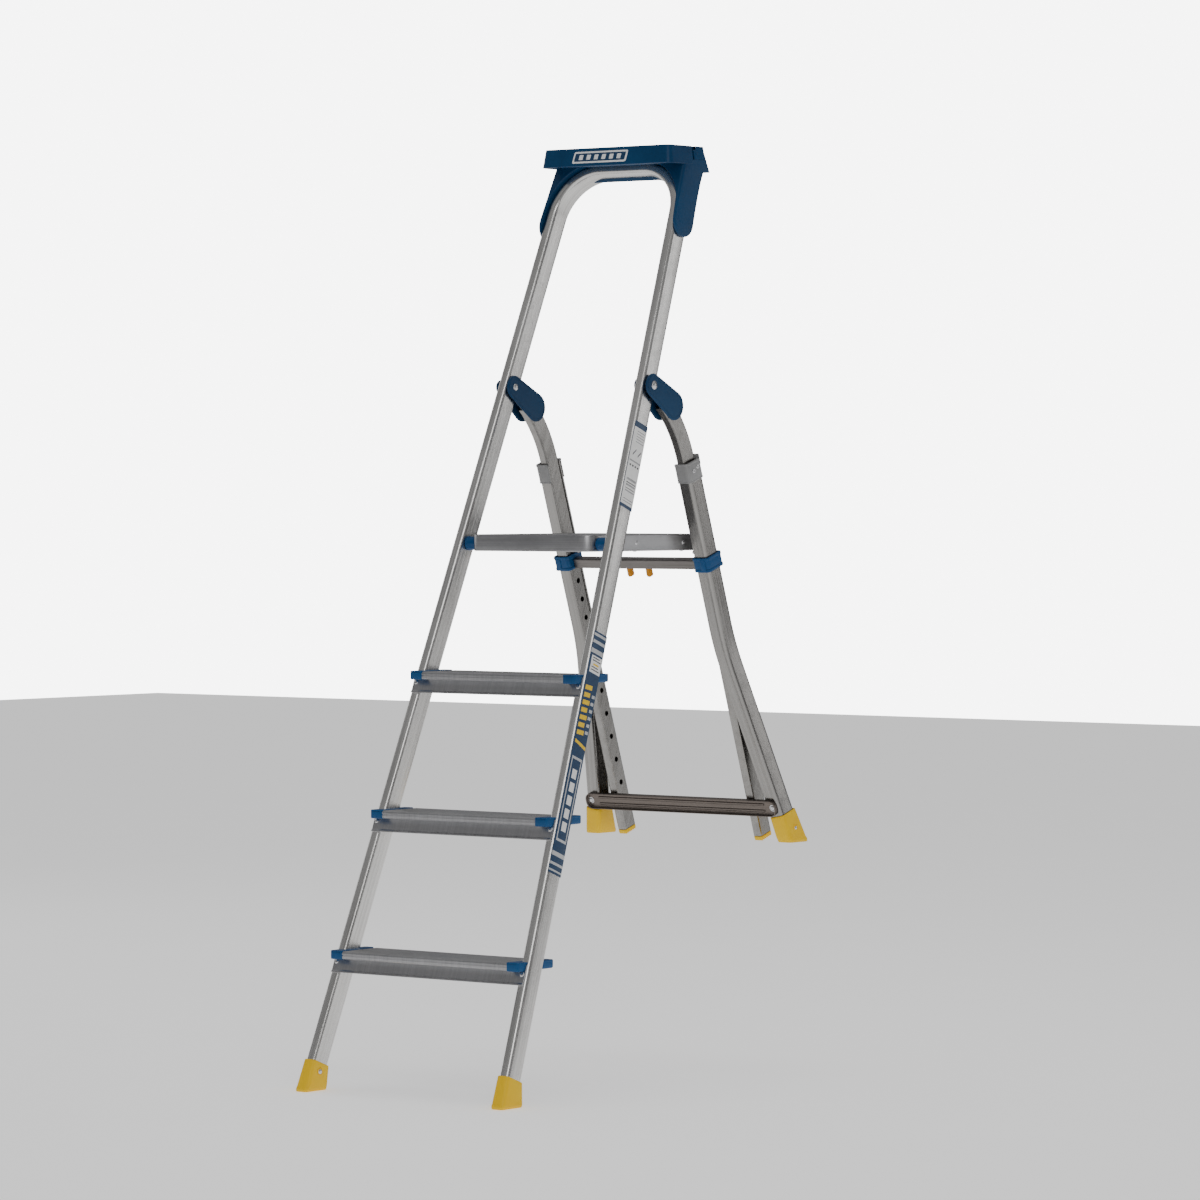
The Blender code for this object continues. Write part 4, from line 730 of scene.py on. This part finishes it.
def tool_tray():
    """Tray: a drafted dish with a rolled rim, a slotted tail rail, cheeks, a ledge, arms and a plain badge."""
    top, front = TRAY_TOP, TRAY_FRONT
    t = np.linspace(0, math.pi / 2, 5)
    rows = [(top - 0.0195, 0.0125), (top - 0.0205, 0.0098), (top - 0.0200, 0.0085),
            (top - 0.0180, 0.0078), (top - 0.0020, 0.0070)]
    rows += [(top - 0.0010 + 0.0010 * math.sin(a), 0.0070 - 0.0011 * (1 - math.cos(a))) for a in t]
    rows += [(top - 0.0012 * (1 - math.cos(a)), 0.0056 - 0.0012 * math.sin(a)) for a in t[1:]]
    rows += [(top - 0.0290, 0.0002), (top - 0.0303, 0.0), (top - 0.0312, 0.0006), (top - 0.0316, 0.0024),
             (top - 0.0302, 0.0040)]
    dish = []
    for z, inset in rows:
        plan = rounded((-0.1397 + inset, front + inset), (0.1397 - inset, front + 0.0775 - 0.25 * inset),
                       0.0130 - 0.6 * inset, 9)
        dish.append(WORLD.at(plan[:, 0], plan[:, 1], np.full(len(plan), z)))
    shells = [np.array(dish)]
    fore, tail = front + 0.0805, TRAY_TAIL
    cheek = filleted(
        [(fore, top), (tail, top), (tail + 0.013, top - 0.044), (tail - 0.005, top - 0.044),
         (tail - 0.0095, top - 0.0537),
         (tail - 0.037, top - 0.056), (fore - 0.006, top - 0.040), (fore - 0.006, top - 0.0075),
         (fore, top - 0.0065)],
        (0.001, 0.0015, 0.001, 0.0008, 0.003, 0.004, 0.001, 0.001, 0.001), 4,
    )
    rear = filleted([(tail - 0.0045, top), (tail, top), (tail + 0.013, top - 0.044),
                     (tail + 0.0085, top - 0.044)], 0.0012, 4)
    web = filleted([(fore, top), (tail - 0.001, top), (tail + 0.010, top - 0.042), (fore, top - 0.044)],
                   0.001, 3)
    shells += [block(rear, -0.1358, 0.1358, 0.001, along_x(WORLD)), block(
        filleted([(fore, top), (fore + 0.004, top), (fore + 0.004, top - 0.044), (fore, top - 0.044)],
                 0.001, 3), -0.1350, 0.1350, 0.001, along_x(WORLD))]
    for x in (-0.0445, 0.0445):
        shells.append(block(web, x - 0.0042, x + 0.0042, 0.0008, along_x(WORLD)))
    for sign in (1, -1):
        sheet = block(cheek, 0.1285, 0.1344, 0.0012, along_x(WORLD))
        lean = np.clip((top - sheet[..., 2]) / 0.031, 0, 2)
        sheet[..., 0] = (sheet[..., 0] + 0.0053 * np.minimum(lean, 1) + 0.0020 * np.maximum(lean - 1,
            0)) * sign
        arm = tray_arms() * (sign, 1, 1)
        shells += [sheet, arm]
    ledge = filleted(
        [(front + 0.060, top - 0.0300), (front + 0.0655, top - 0.0560), (tail - 0.0095, top - 0.0537),
         (tail - 0.005, top - 0.044),
         (fore - 0.002, top - 0.0300)], 0.0025, 4,
    )
    shells.append(block(ledge, -0.1385, 0.1385, 0.001, along_x(WORLD)))
    piece("tool_tray", shells, TRAY_BLUE, "front_frame", ("top_tray",), crease=33)

    def on_fascia(a, b, t):
        """Outline in (x, z), carried outwards from the leaning front wall."""
        return WORLD.at(a, front + 0.0053 - (top - b) * 0.158 - t, b)

    centre, z = -0.010, top - 0.0160
    tilt = 0.22

    def slanted(x0, x1, z0, z1, radius):
        """Rounded bar whose ends lean."""
        outline = rounded((x0, z0), (x1, z1), radius)
        return outline + np.stack(((outline[:, 1] - z) * tilt, 0 * outline[:, 0]), 1)

    badge = [
        (block(slanted(centre - 0.058, centre + 0.058, z - 0.0100, z + 0.0100, 0.003), -0.001, 0.0009,
               0.0005, on_fascia, 3), 0),
        (block(slanted(centre - 0.0545, centre + 0.0545, z - 0.0070, z + 0.0070, 0.002), -0.001, 0.0011,
               0.0002, on_fascia, 2), 1),
    ]
    for k in range(6):
        x = centre - 0.045 + 0.0163 * k
        badge.append((block(slanted(x, x + 0.0085, z - 0.0042, z + 0.0042, 0.0008), -0.001, 0.0013,
                            0.0002, on_fascia, 2), 0))
    piece("tray_badge", badge, [PRINTS[2], PRINTS[0]], "front_frame")


# ------------------------------------------------------------------ platform

DECK_LOW, DECK_HIGH = (np.array(corner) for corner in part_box("platform_deck"))
DECK_FRONT, DECK_REAR = DECK_LOW[1] - STILE_FOOT_Y, DECK_HIGH[1] - STILE_FOOT_Y
DECK_TOP, DECK_BOTTOM = DECK_HIGH[2], DECK_LOW[2]
PIVOT_Y = PIVOT[1] - STILE_FOOT_Y
DECK_CORNER = 0.022


def platform():
    """Platform: a rim band with rolled edges, a ribbed deck as wide as the plan, ribs, rivets and bolts."""
    top, low = DECK_TOP, DECK_BOTTOM
    profile = [
        (0, low + 0.0015), (0, top - 0.0022), (-0.0006, top - 0.0008), (-0.0022, top),
        (-0.0036, top - 0.0004), (-0.0036, top - 0.0026),
        (-0.0022, top - 0.0032), (-0.0020, low + 0.0030), (-0.0075, low + 0.0026),
        (-0.0075, low + 0.0006), (-0.0014, low + 0.0002),
    ]
    wide = DECK_HIGH[0]
    rim = band(rounded((-wide, DECK_FRONT), (wide, DECK_REAR), DECK_CORNER, 9), profile, upwards)
    y = ribbed(DECK_FRONT + 0.003, DECK_REAR - 0.003, top - 0.0004, 0.0062, 0.0011)
    edge = np.minimum(y[:, 0] - DECK_FRONT, DECK_REAR - y[:, 0])
    short = DECK_CORNER - np.sqrt(np.maximum(DECK_CORNER**2 - np.maximum(DECK_CORNER - edge, 0) ** 2, 0))
    half = (wide - 0.003 - short)[:, None]
    bottom = np.full(len(y), top - 0.0034)
    height = np.stack((y[:, 1], y[:, 1], bottom, bottom), 1)
    deck = WORLD.at(half * np.array((-1, 1, 1, -1)), y[:, :1] + np.zeros((1, 4)), height)
    piece("deck_rim", [rim], RIM_METAL, "platform", ("platform_deck",), loop=(0,),
          crease=32)
    piece("deck_top", [deck], TREAD_METAL, "platform", crease=25)
    studs, bolts = [], []
    for number, back in enumerate((0.103, 0.233)):
        y0 = PIVOT_Y + back
        reach = wide - 0.0024
        outline = filleted(
            [(y0 - 0.013, top - 0.0034), (y0 - 0.010, low + 0.006), (y0 + 0.010, low + 0.006),
             (y0 + 0.013, top - 0.0034)], 0.002
        )
        piece(f"deck_rib_{number + 1}", [block(outline, -reach, reach, 0.0003, along_x(WORLD), 1)],
              RIM_METAL, "platform")
        for side in (1, -1):
            x = wide - 0.0001
            studs.append(turned(dome(0, 0.0013, 0.0036, 0.002), (y0, (top + low) / 2), lambda a, b,
                                t: WORLD.at(side * (x + t), a, b)))
            bolts.append(
                turned(dome(0, 0.0022, 0.0044, 0.002), (side * (x - 0.004), y0), lambda a, b,
                       t: WORLD.at(a, b, low + 0.0012 - t))
            )
    piece("deck_studs", studs + bolts, STEEL, "platform")
    for side, word in SIDES:
        low_x = abs(middle(f"platform_bush_{word}")[0])
        inner, outer = DECK_HIGH[0] - 0.004, half_spacing(PIVOT[2] + 0.0115) - STILE_HALF_WIDTH + 0.0002
        rings = [
            (inner, 0.0044), (inner + 0.0044, 0.0044), (inner + 0.0044, 0.0098),
            (inner + 0.0047, 0.0106), (inner + 0.0056, 0.0112),
            (inner + 0.0062, 0.0113), (inner + 0.0066, 0.0108), (inner + 0.0074, 0.0108),
            (inner + 0.0078, 0.0113),
            (outer - 0.0036, 0.0115), (outer - 0.0030, 0.0121), (outer - 0.0006, 0.0121),
            (outer, 0.0116), (outer, 0.0050),
            (max(low_x, outer) + 0.004, 0.0050),
        ]
        disc = turned(rings, (PIVOT_Y, PIVOT[2]), along_x(WORLD))
        piece(f"bush_{word}", [disc], CAP_BLUE, "front_frame",
              (f"platform_bush_{word}",), side)


# ------------------------------------------------------------------ hinge

def hinge():
    """Hinge brackets: two leaf-shaped cheeks with soft edges and a core between them; domed pins."""
    leaf = two_circles(0.0195, (0.0672, 0.0), 0.0245)
    slim = two_circles(0.0125, (0.0672, 0.0), 0.0245)
    for side, word in SIDES:
        low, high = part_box(f"hinge_bracket_{word}")
        inner, outer = min(abs(low.x), abs(high.x)), max(abs(low.x), abs(high.x))
        core = filleted(
            [(0.030, 0.0165), (0.064, 0.0225), (0.083, 0.017), (0.0895, 0.003), (0.083, -0.014),
             (0.062, -0.006), (0.036, 0.005)], 0.007
        )
        shells = [
            block(slim if side > 0 else leaf, inner, inner + 0.0042, 0.0017, along_x(BRACKET), 5),
            block(leaf if side > 0 else slim, outer - 0.0042, outer, 0.0017, along_x(BRACKET), 5),
            block(core, inner + 0.002, outer - 0.002, 0.0004, along_x(BRACKET), 2),
        ]
        piece(f"bracket_{word}", shells, BRACKET_BLUE, "inner_legs",
              (f"hinge_bracket_{word}",), side)
        raised = drawn_in(leaf, np.array((0.0032,)))[0]
        face, out = (outer, 1) if side > 0 else (inner, -1)
        rim = band(raised, [(0, -0.0004), (0, 0.0003), (-0.0008, 0.0005), (-0.0016, 0.0003),
                            (-0.0016, -0.0004)],
                   lambda a, b, t: BRACKET.at(face + out * t, a, b))
        piece(f"bracket_bead_{word}", [rim], BRACKET_BLUE, "inner_legs", side=side,
              loop=(0,))
        heads = [
            turned(dome(outer + 0.0003, 0.0026, 0.0062, 0.03), (0, 0),
                   along_x(Axes(HINGE, (0, 1, 0), (0, 0, 1)))),
            turned(dome(-inner + 0.0003, 0.0024, 0.0060, 0.004), (0, 0), lambda a, b,
                   t: Axes(HINGE, (0, 1, 0), (0, 0, 1)).at(-t, a, b)),
        ]
        collar = turned([(outer, 0.0074), (outer + 0.0007, 0.0074), (outer + 0.0010, 0.0070),
                         (outer + 0.0010, 0.003)], (0, 0),
                        along_x(Axes(HINGE, (0, 1, 0), (0, 0, 1))))
        piece(f"pin_{word}", heads + [collar], STEEL, "front_frame", (f"hinge_pin_{word}",), side)


# ------------------------------------------------------------------ rear legs

CHANNEL_X, CHANNEL_HALF, CHANNEL_DEEP = 0.151, 0.0125, 0.0185
SPLAY_START, SPLAY_SLOPE, SPLAY_BLEND = 0.4504, 0.163, 0.08
FOOT_S = 0.84864
REAR_FOOT_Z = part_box("rear_foot_right")[0].z


def splay(place):
    """(outward shift, slope): nothing, then slope growing evenly over the blend, then a straight run."""
    run = np.maximum(np.asarray(place, float) - SPLAY_START, 0)
    early = np.minimum(run, SPLAY_BLEND)
    shift = SPLAY_SLOPE * (early**2 / (2 * SPLAY_BLEND) + np.maximum(run - SPLAY_BLEND, 0))
    return shift, SPLAY_SLOPE * early / SPLAY_BLEND


def channel_rows(places, outline):
    """Outline square to the channel's bent centre line at each place."""
    shift, slope = splay(places)
    tilt = np.arctan(slope)[:, None]
    a, b = outline[:, 0][None], outline[:, 1][None]
    return LEG.at(CHANNEL_X + shift[:, None] + a * np.cos(tilt),
                  np.asarray(places)[:, None] - a * np.sin(tilt), b + 0 * tilt)


def outer_legs():
    """Channels with curled lips that bend outwards, and their boots."""
    x, q, t = CHANNEL_HALF, CHANNEL_DEEP, 0.0017
    section = filleted(
        [
            (-x, -q), (x, -q), (x, q), (-x, q), (-x, q - 0.004), (-x + t, q - 0.004), (-x + t, q - t),
            (x - t, q - t),
            (x - t, -q + t), (-x + t, -q + t), (-x + t, -q + 0.004), (-x, -q + 0.004),
        ],
        (0.001, 0.0078, 0.0078, 0.001, 0.0004, 0.0004, 0.0004, 0.0062, 0.0062, 0.0004, 0.0004, 0.0004), 9,
    )
    places = np.concatenate((np.linspace(0.160, 0.44, 12), np.linspace(0.45, 0.535, 24),
                             np.linspace(0.54, 0.8386, 14)))
    for side, word in SIDES:
        piece(f"channel_{word}", [channel_rows(places, section)], LEG_METAL, "outer_legs",
              (f"outer_leg_{word}",), side, 30)
        centre = CHANNEL_X + float(splay(FOOT_S)[0])
        y = LEG.at(0, FOOT_S, 0)[1] - STILE_FOOT_Y
        plan = rounded((centre - 0.016, y - 0.0265), (centre + 0.016, y + 0.0285), 0.008)
        sole = WORLD.at(plan[:, 0], plan[:, 1], np.full(len(plan), REAR_FOOT_Z))
        edge = rounded((-0.0152, -0.0212), (0.0152, 0.0212), 0.0066)
        top = channel_rows(np.array((FOOT_S - 0.0525,)), edge)[0]
        boot(f"rear_boot_{word}", sole, top, -LEG.along, "outer_legs", (f"rear_foot_{word}",), side)
        place = FOOT_S - 0.026
        face = CHANNEL_X + float(splay(place)[0]) + 0.0158
        screw = [
            turned(dome(0, 0.0012, 0.0034, 0.004), (place, 0.002), lambda a, b,
                   t: LEG.at(face + t + 0 * a, a, b)),
            turned([(-0.002, 0.0056), (0.0006, 0.0056), (0.0010, 0.0050), (0.0004, 0.0042),
                    (-0.001, 0.004)], (place, 0.002),
                   lambda a, b, t: LEG.at(face + t, a, b)),
        ]
        piece(f"rear_boot_screw_{word}", [(screw[0], 0), (screw[1], 1)], [STEEL, YELLOW], "outer_legs",
              side=side)


def rear_collars():
    """Grey guide collars and blue clamp collars: a soft-edged wall's profile, carried round a C or a ring."""
    x0, x1, q = CHANNEL_X - CHANNEL_HALF - 0.0006, CHANNEL_X + CHANNEL_HALF, CHANNEL_DEEP
    top, t = 0.156, 0.0016

    def wall(deep, grow, low, high, edge):
        """Wall's profile: from deep inside the path to grow outside it, with its outer edges cut off."""
        return [
            (-deep, low), (-deep, high), (grow - edge, high), (grow - 0.3 * edge, high - 0.3 * edge),
            (grow, high - edge),
            (grow, low + edge), (grow - 0.3 * edge, low + 0.3 * edge), (grow - edge, low),
        ]

    def cup(deep, grow, low, high, edge):
        """Wall round three sides of the channel, open towards the middle."""
        path = filleted([(x0, -q), (x1, -q), (x1, q), (x0, q)], (0.0001, 0.0062, 0.0062, 0.0001), 6)
        return band(path, wall(deep, grow, low, high, edge), along_leg)[6:22]

    for side, word in SIDES:
        tab = rounded((x1 - 0.013, top - 0.0065), (x1 - 0.001, top + 0.012), 0.0015)
        shells = [
            cup(0.0002, t, top, top + 0.034, 0.0006),
            cup(0.0020, t + 0.0008, top, top + 0.0042, 0.0008),
            cup(0.0002, t + 0.0004, top + 0.0315, top + 0.034, 0.0004),
            block(tab, q - 0.0004, q + t + 0.0006, 0.0006, across_leg, 3),
        ]
        piece(f"guide_{word}", shells, GREY, "outer_legs", (f"guide_collar_{word}",), side)
        studs, hole_shade_discs = [], []
        for number in (1, 2):
            centre = middle(f"collar_rivet_{number}_{word}") - LEG.origin
            s, b = float(centre @ LEG.along), float(centre @ LEG.across)
            studs.append(
                turned(
                    [(x1 - 0.002, 0.0020), (x1 + t, 0.0020), (x1 + t, 0.0036), (x1 + t + 0.0008, 0.0036),
                     (x1 + t + 0.0013, 0.0030),
                     (x1 + t + 0.0013, 0.0018), (x1 + t + 0.0004, 0.0014), (x1 + t + 0.0002, 0.0004)],
                    (s, b), along_x(LEG),
                )
            )
            # Dark discs over the rivets' centre dips: painted shade in the holes.
            hole_shade_discs.append(turned([(x1, 0.0015), (x1 + t + 0.0005, 0.0015), (x1 + t + 0.0005, 0.0003)],
                                  (s, b), along_x(LEG)))
        piece(
            f"guide_studs_{word}", [(s, 0) for s in studs] + [(h, 1) for h in hole_shade_discs],
            [STEEL, PAINTED_SHADE_METAL], "outer_legs",
            (f"collar_rivet_1_{word}", f"collar_rivet_2_{word}"), side,
        )
        low, high = (np.array(c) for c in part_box(f"clamp_collar_{word}"))
        inner = min(abs(low[0]), abs(high[0]))
        length = 0.0257
        start = LATCH_S - length / 2 - 0.004
        outside = rounded((inner + 0.0008, -q - 0.0037), (x1 + 0.0037, q + 0.0037), 0.0065)
        border = rounded((inner, -q - 0.0046), (x1 + 0.0046, q + 0.0046), 0.0072)
        shells = [
            band(outside, wall(0.0026, 0, start, start + length, 0.0006), along_leg),
            band(border, wall(0.0034, 0, start, start + 0.0055, 0.0012), along_leg),
            band(border, wall(0.0034, 0, start + length - 0.0055, start + length, 0.0012), along_leg),
            block(rounded((x1 - 0.012, start + 0.003), (x1 - 0.002, start + length - 0.003), 0.002),
                  -q - 0.0050, -q - 0.001, 0.0010, across_leg, 3),
        ]
        piece(f"clamp_{word}", shells, CAP_BLUE, "outer_legs", (f"clamp_collar_{word}",),
              side, loop=(0, 1, 2))


def latches():
    """Latch pins with a soft tip, coil springs (round wire along a helix) and hooked finger levers."""
    centre = (LATCH_S, 0.0)
    for side, word in SIDES:
        pin = [
            (0.020, 0.0038), (0.0202, 0.004), (0.0743, 0.004), (0.0743, 0.0060), (0.0746, 0.0062),
            (0.0760, 0.0062), (0.0763, 0.006),
            (0.0763, 0.004), (0.1375, 0.004), (0.1384, 0.0036), (0.1389, 0.0028), (0.1390, 0.001),
        ]
        piece(f"bolt_{word}", [turned(pin, centre, along_x(LEG))], STEEL, f"{word}_latch",
              (f"latch_pin_{word}",), side)
        turn = np.linspace(0, 14 * math.pi, 14 * 14 + 1)[:, None]
        around = np.linspace(0, 2 * math.pi, 8, endpoint=False)[None]
        radius = 0.0053 + 0.0006 * np.cos(around)
        x = 0.0431 + 0.0303 * turn / turn[-1] + 0.0006 * np.sin(around)
        coil = LEG.at(x, LATCH_S + radius * np.cos(turn), radius * np.sin(turn))
        piece(f"coil_{word}", [coil], STEEL, "outer_legs", (f"latch_spring_{word}",), side)
        low, high = (np.array(c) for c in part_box(f"latch_lever_{word}"))
        a, b = min(abs(low[0]), abs(high[0])), max(abs(low[0]), abs(high[0]))
        s = LATCH_S
        hook = filleted(
            [(a, s - 0.0055), (b, s - 0.0055), (b, s + 0.010), (b + 0.0006, s + 0.0215),
             (b - 0.0020, s + 0.0250),
             (a + 0.0010, s + 0.0240), (a - 0.0006, s + 0.0200), (a, s + 0.010)],
            (0.002, 0.002, 0.006, 0.003, 0.0022, 0.0022, 0.004, 0.006), 5,
        )
        # The levers take the darker orange yellow, which is painted shade.
        piece(f"lever_{word}", [block(hook, -0.0045, 0.0045, 0.0012, across_leg)], SHADED_LEVER_YELLOW,
              f"{word}_latch",
              (f"latch_lever_{word}",), side)


def brace():
    """Rear brace: a round-ended plate, a turned-up rim, two pressed beads, and studs with washers."""
    place = FOOT_S - 0.070
    x = CHANNEL_X + float(splay(place)[0])
    reach, half, back = x + 0.0085, 0.0145, -CHANNEL_DEEP - 0.0003
    outline = rounded((-reach, place - half), (reach, place + half), 0.0125, 10)
    inner = drawn_in(outline, np.array((0.0009,)))[0]
    profile = [
        (0.0009, back), (0.0009, back - 0.0072), (0.0004, back - 0.0078), (-0.0004, back - 0.0078),
        (-0.0009, back - 0.0072),
        (-0.0009, back - 0.0026), (-0.0022, back - 0.0014), (-0.0022, back),
    ]
    beads = [
        block(rounded((-reach + 0.026, place + s - 0.0021), (reach - 0.026, place + s + 0.0021), 0.002),
              back - 0.0034, back - 0.001,
              0.0016, across_leg)
        for s in (-0.0058, 0.0058)
    ]
    shells = [band(inner, profile, across_leg), block(outline, back - 0.0018, back, 0.0002, across_leg,
                                                      1)] + beads
    piece("brace_pan", shells, BRACE_METAL, "outer_legs", ("rear_brace",), loop=(0,))
    for side, word in SIDES:
        heads = [
            turned(dome(0, 0.0022, 0.0046, 0.004), (x, place), lambda a, b,
                   t: LEG.at(a, b, back - 0.0024 - t)),
            turned([(0, 0.0062), (0.0006, 0.0062), (0.0008, 0.0058), (0.0008, 0.002)], (x, place),
                   lambda a, b, t: LEG.at(a, b, back - 0.0017 - t)),
        ]
        piece(f"brace_stud_{word}", heads, STEEL, "outer_legs", (f"brace_rivet_{word}",), side)


def small_leg_pieces():
    """Ribbed plugs in the inner legs' lower ends and domed rest pins."""
    for side, word in SIDES:
        end = float((middle(f"leg_plug_{word}") - LEG.origin) @ LEG.along) + 0.012
        x = abs(middle(f"leg_plug_{word}")[0])
        shells = [block(rounded((x - 0.0086, -0.0156), (x + 0.0086, 0.0156), 0.003), end - 0.0078,
                        end - 0.0022, 0.0008, along_leg)]
        for q in np.linspace(-0.0125, 0.0125, 6):
            shells.append(block(rounded((x - 0.008, q - 0.0014), (x + 0.008, q + 0.0014), 0.0006),
                                end - 0.004, end, 0.0006, along_leg))
        piece(f"plug_{word}", shells, YELLOW, "inner_legs", (f"leg_plug_{word}",), side)
        centre = middle(f"rest_pin_{word}") - LEG.origin
        s = float(centre @ LEG.along)
        low, high = (abs(c[0]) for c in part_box(f"rest_pin_{word}"))
        tip, root = min(low, high), max(low, high)
        profile = [(tip, 0.0012), (tip + 0.0004, 0.0022), (tip + 0.0012, 0.0029), (tip + 0.002, 0.003),
                   (root, 0.003)]
        piece(f"stud_{word}", [turned(profile, (s, 0), along_x(LEG))], STEEL, "inner_legs",
              (f"rest_pin_{word}",), side)


# ------------------------------------------------------------------ run

front_tube()
front_boots()
treads()
tool_tray()
stile_labels()
platform()
hinge()
outer_legs()
rear_collars()
latches()
brace()
small_leg_pieces()

LEG_TURN = (math.atan2(DOWN_LEG[1], -DOWN_LEG[2]), 0, 0)
PERFORATED = extruded_metal(
    "perforated_leg_aluminium", (0.38, 0.37, 0.355), (0.20, 0.19, 0.18), 0.26, source="Object",
    stretch=(900, 900, 3), turn=LEG_TURN
)
KEPT = {
    "inner_leg_right": PERFORATED,
    "inner_leg_left": PERFORATED,
    # The crossbar gets the dark aluminium, which is painted shade.
    "crossbar": PAINTED_SHADE_METAL,
    "spring_stop_right": STEEL,
    "spring_stop_left": STEEL,
}
for node, finish in KEPT.items():
    for holder in frame["nodes"][node].material_slots:
        holder.material = finish

# ------------------------------------------------------------------ floor, light and camera


def floor():
    """A pale floor: one flat square, from -12 m to 12 m along x and y, just under the feet."""
    mesh = bpy.data.meshes.new("floor")
    mesh.from_pydata([(-12, -12, -0.0005), (12, -12, -0.0005), (12, 12, -0.0005), (-12, 12, -0.0005)],
                     [], [(0, 1, 2, 3)])
    n = Nodes("floor_paper")
    n.join(n.blend(n.noise("Object", 3.0, 2.0), (0.86, 0.86, 0.86), (0.90, 0.90, 0.90)),
           n.shader.inputs["Base Color"])
    mesh.materials.append(n.finish(Roughness=0.85, Emission_Color=(1, 1, 1, 1), Emission_Strength=0.55))
    obj = bpy.data.objects.new("floor", mesh)
    bpy.context.scene.collection.objects.link(obj)


def softbox(name, place, target, size, power):
    """A square area light aimed at a point."""
    light = bpy.data.lights.new(name, "AREA")
    light.size = size
    light.energy = power
    obj = bpy.data.objects.new(name, light)
    obj.location = place
    obj.rotation_mode = "QUATERNION"
    obj.rotation_quaternion = (Vector(target) - Vector(place)).to_track_quat("-Z", "Y")
    bpy.context.scene.collection.objects.link(obj)


def surroundings():
    """White to the camera, and a softer grey that brightens upwards for light and reflections."""
    world = bpy.data.worlds.new("studio")
    bpy.context.scene.world = world
    world.use_nodes = True
    tree = world.node_tree
    seen = tree.nodes["Background"]
    seen.inputs["Color"].default_value = (1, 1, 1, 1)
    seen.inputs["Strength"].default_value = 7.0
    lit = tree.nodes.new("ShaderNodeBackground")
    place = tree.nodes.new("ShaderNodeTexCoord")
    parts = tree.nodes.new("ShaderNodeSeparateXYZ")
    ramp = tree.nodes.new("ShaderNodeValToRGB")
    ramp.color_ramp.elements[0].position = 0.0
    ramp.color_ramp.elements[0].color = (0.13, 0.13, 0.135, 1)
    ramp.color_ramp.elements[1].position = 0.9
    ramp.color_ramp.elements[1].color = (0.42, 0.42, 0.42, 1)
    path = tree.nodes.new("ShaderNodeLightPath")
    mix = tree.nodes.new("ShaderNodeMixShader")
    tree.links.new(place.outputs["Generated"], parts.inputs[0])
    tree.links.new(parts.outputs["Z"], ramp.inputs["Fac"])
    tree.links.new(ramp.outputs["Color"], lit.inputs["Color"])
    tree.links.new(path.outputs["Is Camera Ray"], mix.inputs[0])
    tree.links.new(lit.outputs[0], mix.inputs[1])
    tree.links.new(seen.outputs[0], mix.inputs[2])
    tree.links.new(mix.outputs[0], tree.nodes["World Output"].inputs["Surface"])


floor()
surroundings()
softbox("key", (3.4, 4.2, 1.7), (0, 0, 0.8), 1.5, 9)
softbox("fill", (3.6, -3.4, 3.2), (0, 0, 0.7), 2.0, 34)
softbox("top", (0.0, 0.3, 4.4), (0, 0, 0.8), 2.4, 30)
softbox("left", (-4.4, 0.6, 1.8), (0, 0, 0.8), 2.0, 14)

camera = bpy.data.cameras.new("camera")
camera.lens = 160.476
camera.sensor_width = 36
camera.clip_end = 60
viewer = bpy.data.objects.new("camera", camera)
viewer.location = (5.6167, STILE_FOOT_Y - 6.6703, 1.0031)
viewer.rotation_euler = (math.pi / 2 - 0.0215, 0.0007, 0.6633)
bpy.context.scene.collection.objects.link(viewer)
bpy.context.scene.camera = viewer
